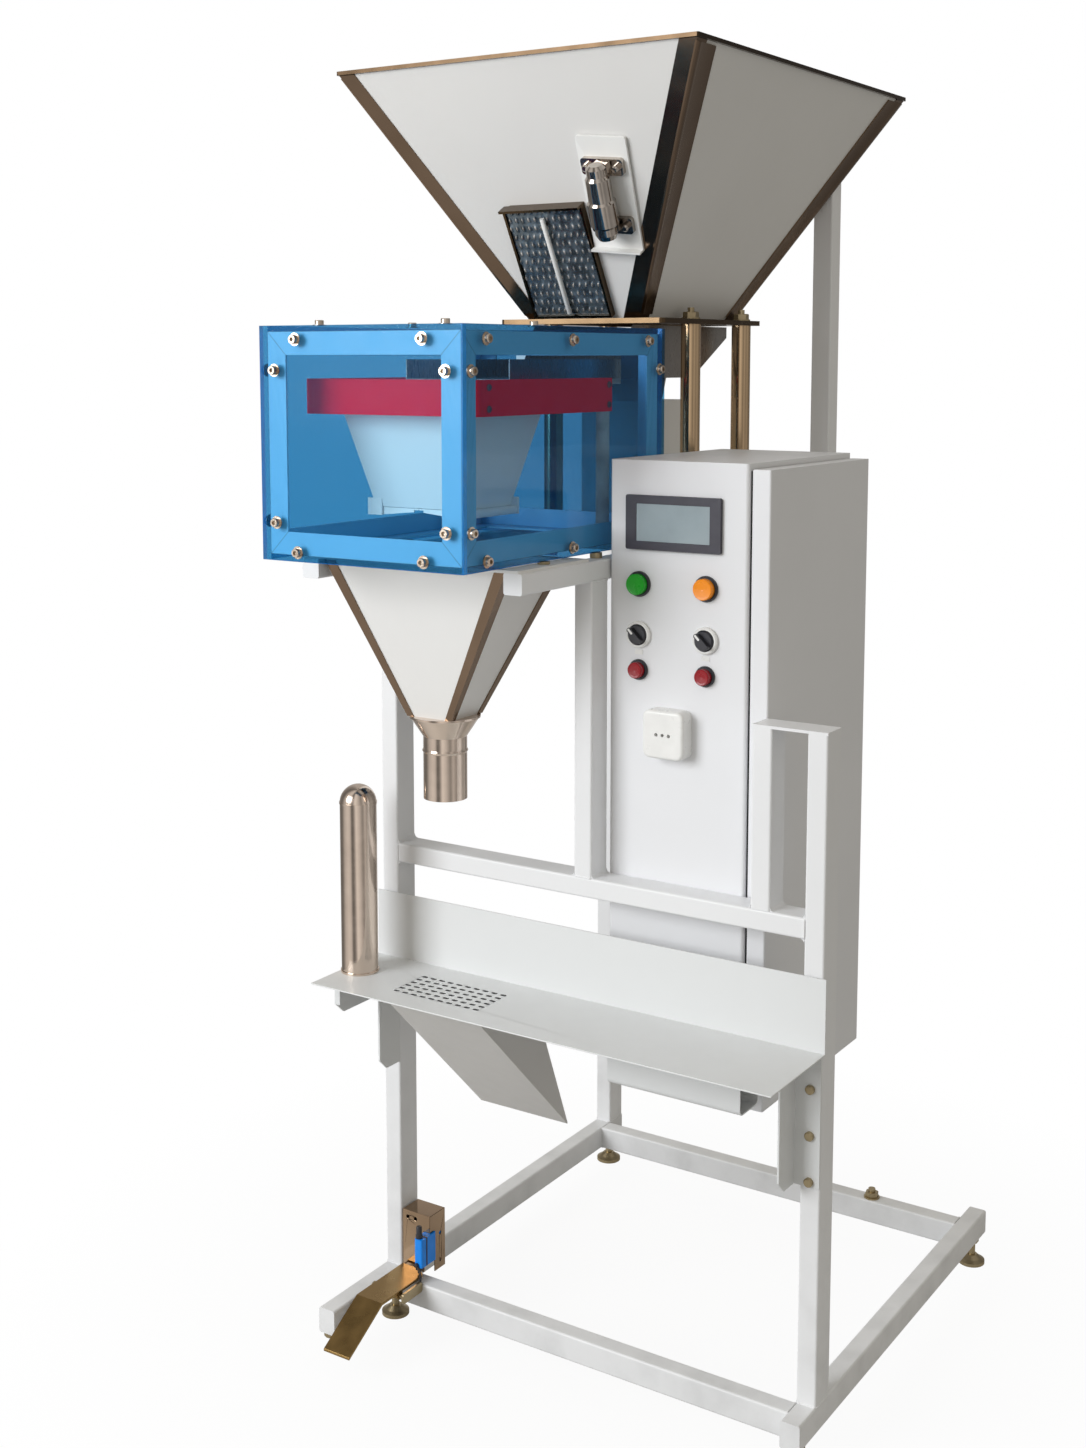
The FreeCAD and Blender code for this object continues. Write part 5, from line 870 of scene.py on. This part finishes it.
screw_steel = metal("screw_steel", linear(214, 200, 184), linear(120, 96, 70), 0.22, scale=300.0)
box_heads = [cap_screw(place, out) for place, out in box_screw_places()]
box_screws = add_joined("box_cap_screws", box_heads, screw_steel, "zinc")
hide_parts("box_fixings")
SPACER_R = 0.009
SPACER_CUT = 0.0006
SPACER_SEATS = ((-0.356, 0.004), (-0.217, 0.0), (-0.051, 0.0))
arm_low, arm_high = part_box("box_arms")
box_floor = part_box("box_front_panel")[0][2]
spacers = []
for spacer_x in (arm_low[0] + 0.021, arm_high[0] - 0.021):
    for spacer_y, seat in SPACER_SEATS:
        tall = box_floor - arm_high[2] - seat
        end_r = SPACER_R - SPACER_CUT
        profile = [(0, 0), (end_r, 0), (SPACER_R, SPACER_CUT), (SPACER_R, tall - SPACER_CUT), (end_r, tall),
                   (0, tall)]
        spacers.append(turned((spacer_x, spacer_y, arm_high[2] + seat), UP, profile))
add_joined("box_spacers", spacers, zinc, "zinc")


# Weighing gear: a red bar bent to a U stands on two bare columns. Load cells hang the bucket from it.
# Two flaps close the bucket, worked by a small air cylinder.
BAR_H = 0.049
BOLT_IN = 0.010
bar_low_corner, bar_high_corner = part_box("load_bars")
bar_bottom = float(bar_high_corner[2]) - BAR_H
red_coat = coated("red_gloss", linear(244, 4, 40), 0.28, 0.00001, dusty=False)
red_coat.node_tree.nodes["Principled BSDF"].inputs["Specular IOR Level"].default_value = 0.02
bare_below = by_height(red_coat.node_tree, 1.0, 0.0, bar_bottom - 0.0006, bar_bottom)
dress(darkened(red_coat, bare_below, linear(190, 200, 206)), "load_bars")
bar_bolts = []
for bolt_x, out in ((bar_low_corner[0], -1), (bar_high_corner[0], 1)):
    for bolt_y in (bar_low_corner[1] + 2 * BOLT_IN, bar_high_corner[1] - BOLT_IN):
        for bolt_z in (bar_bottom + BOLT_IN, bar_bottom + BAR_H - BOLT_IN):
            bar_bolts.append(cap_screw((bolt_x, bolt_y, bolt_z), (out, 0, 0), 0.0034, 0.0036))
add_joined("bar_bolts", bar_bolts, screw_steel, "zinc")
cell_metal = metal("anodised_cell", linear(205, 206, 210), linear(150, 152, 156), 0.32, (1, 8, 1), 60.0)
dress(cell_metal, "load_cells", "gate_cylinder", "gate_rod")
bucket_steel = coated("bucket_sheet", linear(246, 249, 252), 0.45, dusty=False)
dress(bucket_steel, "weigh_bucket", "gate_left", "gate_right")


# Dimpled sheet in the pan on the hopper's front wall: dark stainless pressed with rows of small
# dimples, whose tops are painted bright as painted highlights, with a white coated rod across it. The
# wall leans forward as it rises.
WALL_FOOT = np.array([-0.1235, 0.023, 1.594])
WALL_LEAN = math.atan2(0.218, 0.382)


def on_wall(across, out, up):
    """Point on the leaning wall from its distance across, its distance off the wall, and its height
    along the wall."""
    y = -out * math.cos(WALL_LEAN) - up * math.sin(WALL_LEAN)
    z = -out * math.sin(WALL_LEAN) + up * math.cos(WALL_LEAN)
    return np.stack([across + 0 * y, y, z], axis=-1) + WALL_FOOT


def dimpled_sheet(columns=12, rows=13):
    """Sheet on a grid: its height is a sum of rounded dimples, each a product of two squared sines
    raised to a power, shifted half a pitch on every second row."""
    across, up = np.meshgrid(np.linspace(-0.0795, 0.0565, 170), np.linspace(0.0125, 0.1955, 230))
    row = up / 0.185 * rows
    column = across / 0.137 * columns + 0.5 * np.mod(np.floor(row), 2) + 0.15 * np.sin(row * 2.1)
    bump = (np.sin(np.pi * row) ** 2) ** 1.2 * (np.sin(np.pi * column) ** 2) ** 3
    points = on_wall(across, 0.0087 + 0.0017 * bump, up)
    return points.reshape(-1, 3), quads(230, 170, closed=False)


def dimple_finish():
    """Dark stainless whose raised places are painted bright as painted highlights: the colour follows the
    height off the wall."""
    dark, bright = linear(128, 140, 148), linear(255, 244, 232)
    material, tree, shader, place = new_finish("dimple_steel", dark, 0.25, 0.75)
    offset = tree.nodes.new("ShaderNodeVectorMath")
    offset.operation = "SUBTRACT"
    offset.inputs[1].default_value = tuple(WALL_FOOT)
    tree.links.new(place, offset.inputs[0])
    off_wall = tree.nodes.new("ShaderNodeVectorMath")
    off_wall.operation = "DOT_PRODUCT"
    off_wall.inputs[1].default_value = (0, -math.cos(WALL_LEAN), -math.sin(WALL_LEAN))
    tree.links.new(offset.outputs["Vector"], off_wall.inputs[0])
    painted_highlight_share = spread(tree, off_wall.outputs["Value"], 0.0, 1.0, 0.0093, 0.0101)
    patches = noise(tree, place, 70.0, 4.0)
    base = ramp(tree, patches, [(0.35, shade(dark, 0.5)), (0.6, dark), (0.75, shade(dark, 1.5))])
    top = ramp(tree, patches, [(0.35, shade(bright, 0.6)), (0.6, bright)])
    # Painted highlight: the raised dimple tops take the bright colour.
    tree.links.new(mixed(tree, painted_highlight_share, base, top), shader.inputs["Base Color"])
    tree.links.new(spread(tree, patches, 0.12, 0.4), shader.inputs["Roughness"])
    return material


sheet_points, sheet_faces = dimpled_sheet()
add_piece("dimpled_sheet", sheet_points, sheet_faces, dimple_finish(), "stainless")
ROD_R = 0.0038
ROD_ENDS = (0.0185, 0.1815)
ROD_CUT = (0.0004, 0.0006)
rod_start, rod_end = [on_wall(np.array(-0.012), np.array(0.0155), np.array(up)) for up in ROD_ENDS]
rod_run = float(np.linalg.norm(rod_end - rod_start))
rod_axis = (rod_end - rod_start) / rod_run
rod_profile = [(0, -ROD_CUT[1]), (ROD_R - ROD_CUT[0], -ROD_CUT[1]), (ROD_R, 0.0), (ROD_R, rod_run),
               (ROD_R - ROD_CUT[0], rod_run + ROD_CUT[1]), (0, rod_run + ROD_CUT[1])]
rod_points, rod_faces = turned(rod_start, rod_axis, rod_profile, 20)
white_coat = coated("white_coat", linear(240, 240, 238), 0.35, dusty=False)
add_piece("pan_rod", rod_points, rod_faces, white_coat, "white_plastic")
dress(dull_steel, "sight_panel")


# Vibrator: cast body with a polished middle, in two clamped feet on its backing plate.
cast_metal = metal("vibrator_cast", linear(206, 196, 186), linear(60, 54, 50), 0.12, (1, 1, 3), marks=0.7)
dress(cast_metal, "vibrator")
dress(white_coat, "vibrator_plate")
soften(0.0006, "vibrator_plate")


# Pipes, trough and drive: stained stainless pipes carry the hopper, the trough is folded stainless
# sheet, and the drive has a white coated housing on rubber mounts.
pipe_steel = metal("pipe_steel", linear(196, 168, 134), linear(120, 96, 68), 0.16, marks=0.25)
dress(pipe_steel, "support_pipes")
trough_sheet = metal("trough_sheet", linear(160, 156, 152), linear(96, 92, 88), 0.3, (1, 8, 1), 60.0, 0.4)
dress(trough_sheet, "feed_trough")
dress(coated("drive_coat", linear(228, 228, 226), 0.4, dusty=False), "feed_drive")


# Control cabinet: folded steel body and pan door with the frame's powder coat, hung on concealed
# hinges, and a zinc plate with devices inside; plate and devices here share one grey moulded finish.
cabinet_coat = coated("cabinet_coat", linear(231, 232, 235), 0.4)
dress(cabinet_coat, "cabinet_body", "cabinet_door")
dress(moulded("device_cases", linear(150, 152, 154), 0.5), "mounting_plate")


def ring_strip(x, outer, inner):
    """Flat seal square to X: the outline runs round the outer rectangle and back round the inner one."""
    def loop(rectangle, level):
        y0, y1, z0, z1 = rectangle
        return [(level, y0, z0), (level, y1, z0), (level, y1, z1), (level, y0, z1)]
    rows = [loop(outer, x[0]), loop(outer, x[1]), loop(inner, x[1]), loop(inner, x[0]), loop(outer, x[0])]
    return np.array(rows, float).reshape(-1, 3), quads(5, 4)


SEAL_W = 0.008
SEAL_H = 0.0026
rubber = moulded("door_seal", linear(30, 30, 32), 0.7)
body_low, body_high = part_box("cabinet_body")
face_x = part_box("cabinet_door")[0][0] - 0.003
seal_outer = (body_low[1] + 0.007, body_high[1] - 0.019, body_low[2] + 0.010, body_high[2] - 0.010)
seal_inner = tuple(edge + move * SEAL_W for edge, move in zip(seal_outer, (1, -1, 1, -1)))
seal_points, seal_faces = ring_strip((face_x, face_x + SEAL_H), seal_outer, seal_inner)
add_piece("door_seal", seal_points, seal_faces, rubber, "black_plastic")


# Operator panel: touch panel with a blank screen, coloured push buttons, selectors and the socket.
dress(moulded("panel_plastic", linear(60, 58, 68), 0.45), "hmi")
dress(moulded("green_cap", linear(0, 170, 28), 0.3), "green_button")
dress(moulded("orange_cap", linear(255, 148, 4), 0.3), "orange_button")
dress(moulded("red_cap", linear(150, 14, 30), 0.3), "red_button_left", "red_button_right")
white_plastic = moulded("white_plastic", linear(240, 240, 238), 0.32)
dress(white_plastic, "socket_outlet")
soften(0.0004, "hmi", "selector_left", "selector_right")
panel_y = body_low[1]
BEZEL = (0.0174, 0.0124)
RING = [(0.0155, 0.0), (0.0196, 0.0), (0.0196, 0.0042), (0.0180, 0.0058), (0.0155, 0.0058), (0.0155, 0.0)]
TAG_HALF = 0.0065
TAG_UNDER = (0.029, 0.022)
MARK_HALF = 0.0016
MARK_RUN = (0.003, 0.0130)
screen_low, screen_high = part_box("hmi")
pane_x = (screen_low[0] + BEZEL[0], screen_high[0] - BEZEL[0])
pane_z = (screen_low[2] + BEZEL[1], screen_high[2] - BEZEL[1])
pane = rounded_outline(pane_x, pane_z, 0.001, 0.0)
pane_points, pane_faces = extruded(pane, (0, screen_low[1] + 0.0015, 0), (0, screen_low[1] + 0.0009, 0))
screen_glass = moulded("screen_glass", linear(158, 172, 178), 0.12, 0.0)
add_piece("screen_pane", pane_points, pane_faces, screen_glass, "black_plastic")
collars = []
plates = []
for side in ("left", "right"):
    knob = "selector_" + side
    knob_low, knob_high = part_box(knob)
    knob_x = (knob_low[0] + knob_high[0]) / 2
    knob_z = (knob_low[2] + knob_high[2]) / 2
    collars.append(turned((knob_x, panel_y, knob_z), (0, -1, 0), RING, 40))
    tag_z = (knob_z - TAG_UNDER[0], knob_z - TAG_UNDER[1])
    tag = rounded_outline((knob_x - TAG_HALF, knob_x + TAG_HALF), tag_z, 0.001, 0.0)
    plates.append(extruded(tag, (0, panel_y, 0), (0, panel_y - 0.0008, 0)))
    tip = rounded_outline((-MARK_HALF, MARK_HALF), MARK_RUN, 0.0012, 0.0)
    lean = math.radians(-45)
    turned_x = tip[:, 0] * math.cos(lean) + tip[:, 2] * math.sin(lean)
    turned_z = -tip[:, 0] * math.sin(lean) + tip[:, 2] * math.cos(lean)
    outline = np.stack([knob_x + turned_x, np.zeros(len(tip)), knob_z + turned_z], axis=1)
    mark_points, mark_faces = extruded(outline, (0, knob_low[1], 0), (0, knob_low[1] - 0.0004, 0))
    add_piece("pointer_" + side, mark_points, mark_faces, white_plastic, "white_plastic", knob)
add_joined("selector_collars", collars, white_plastic, "white_plastic")
add_joined("blank_tags", plates, white_plastic, "white_plastic")
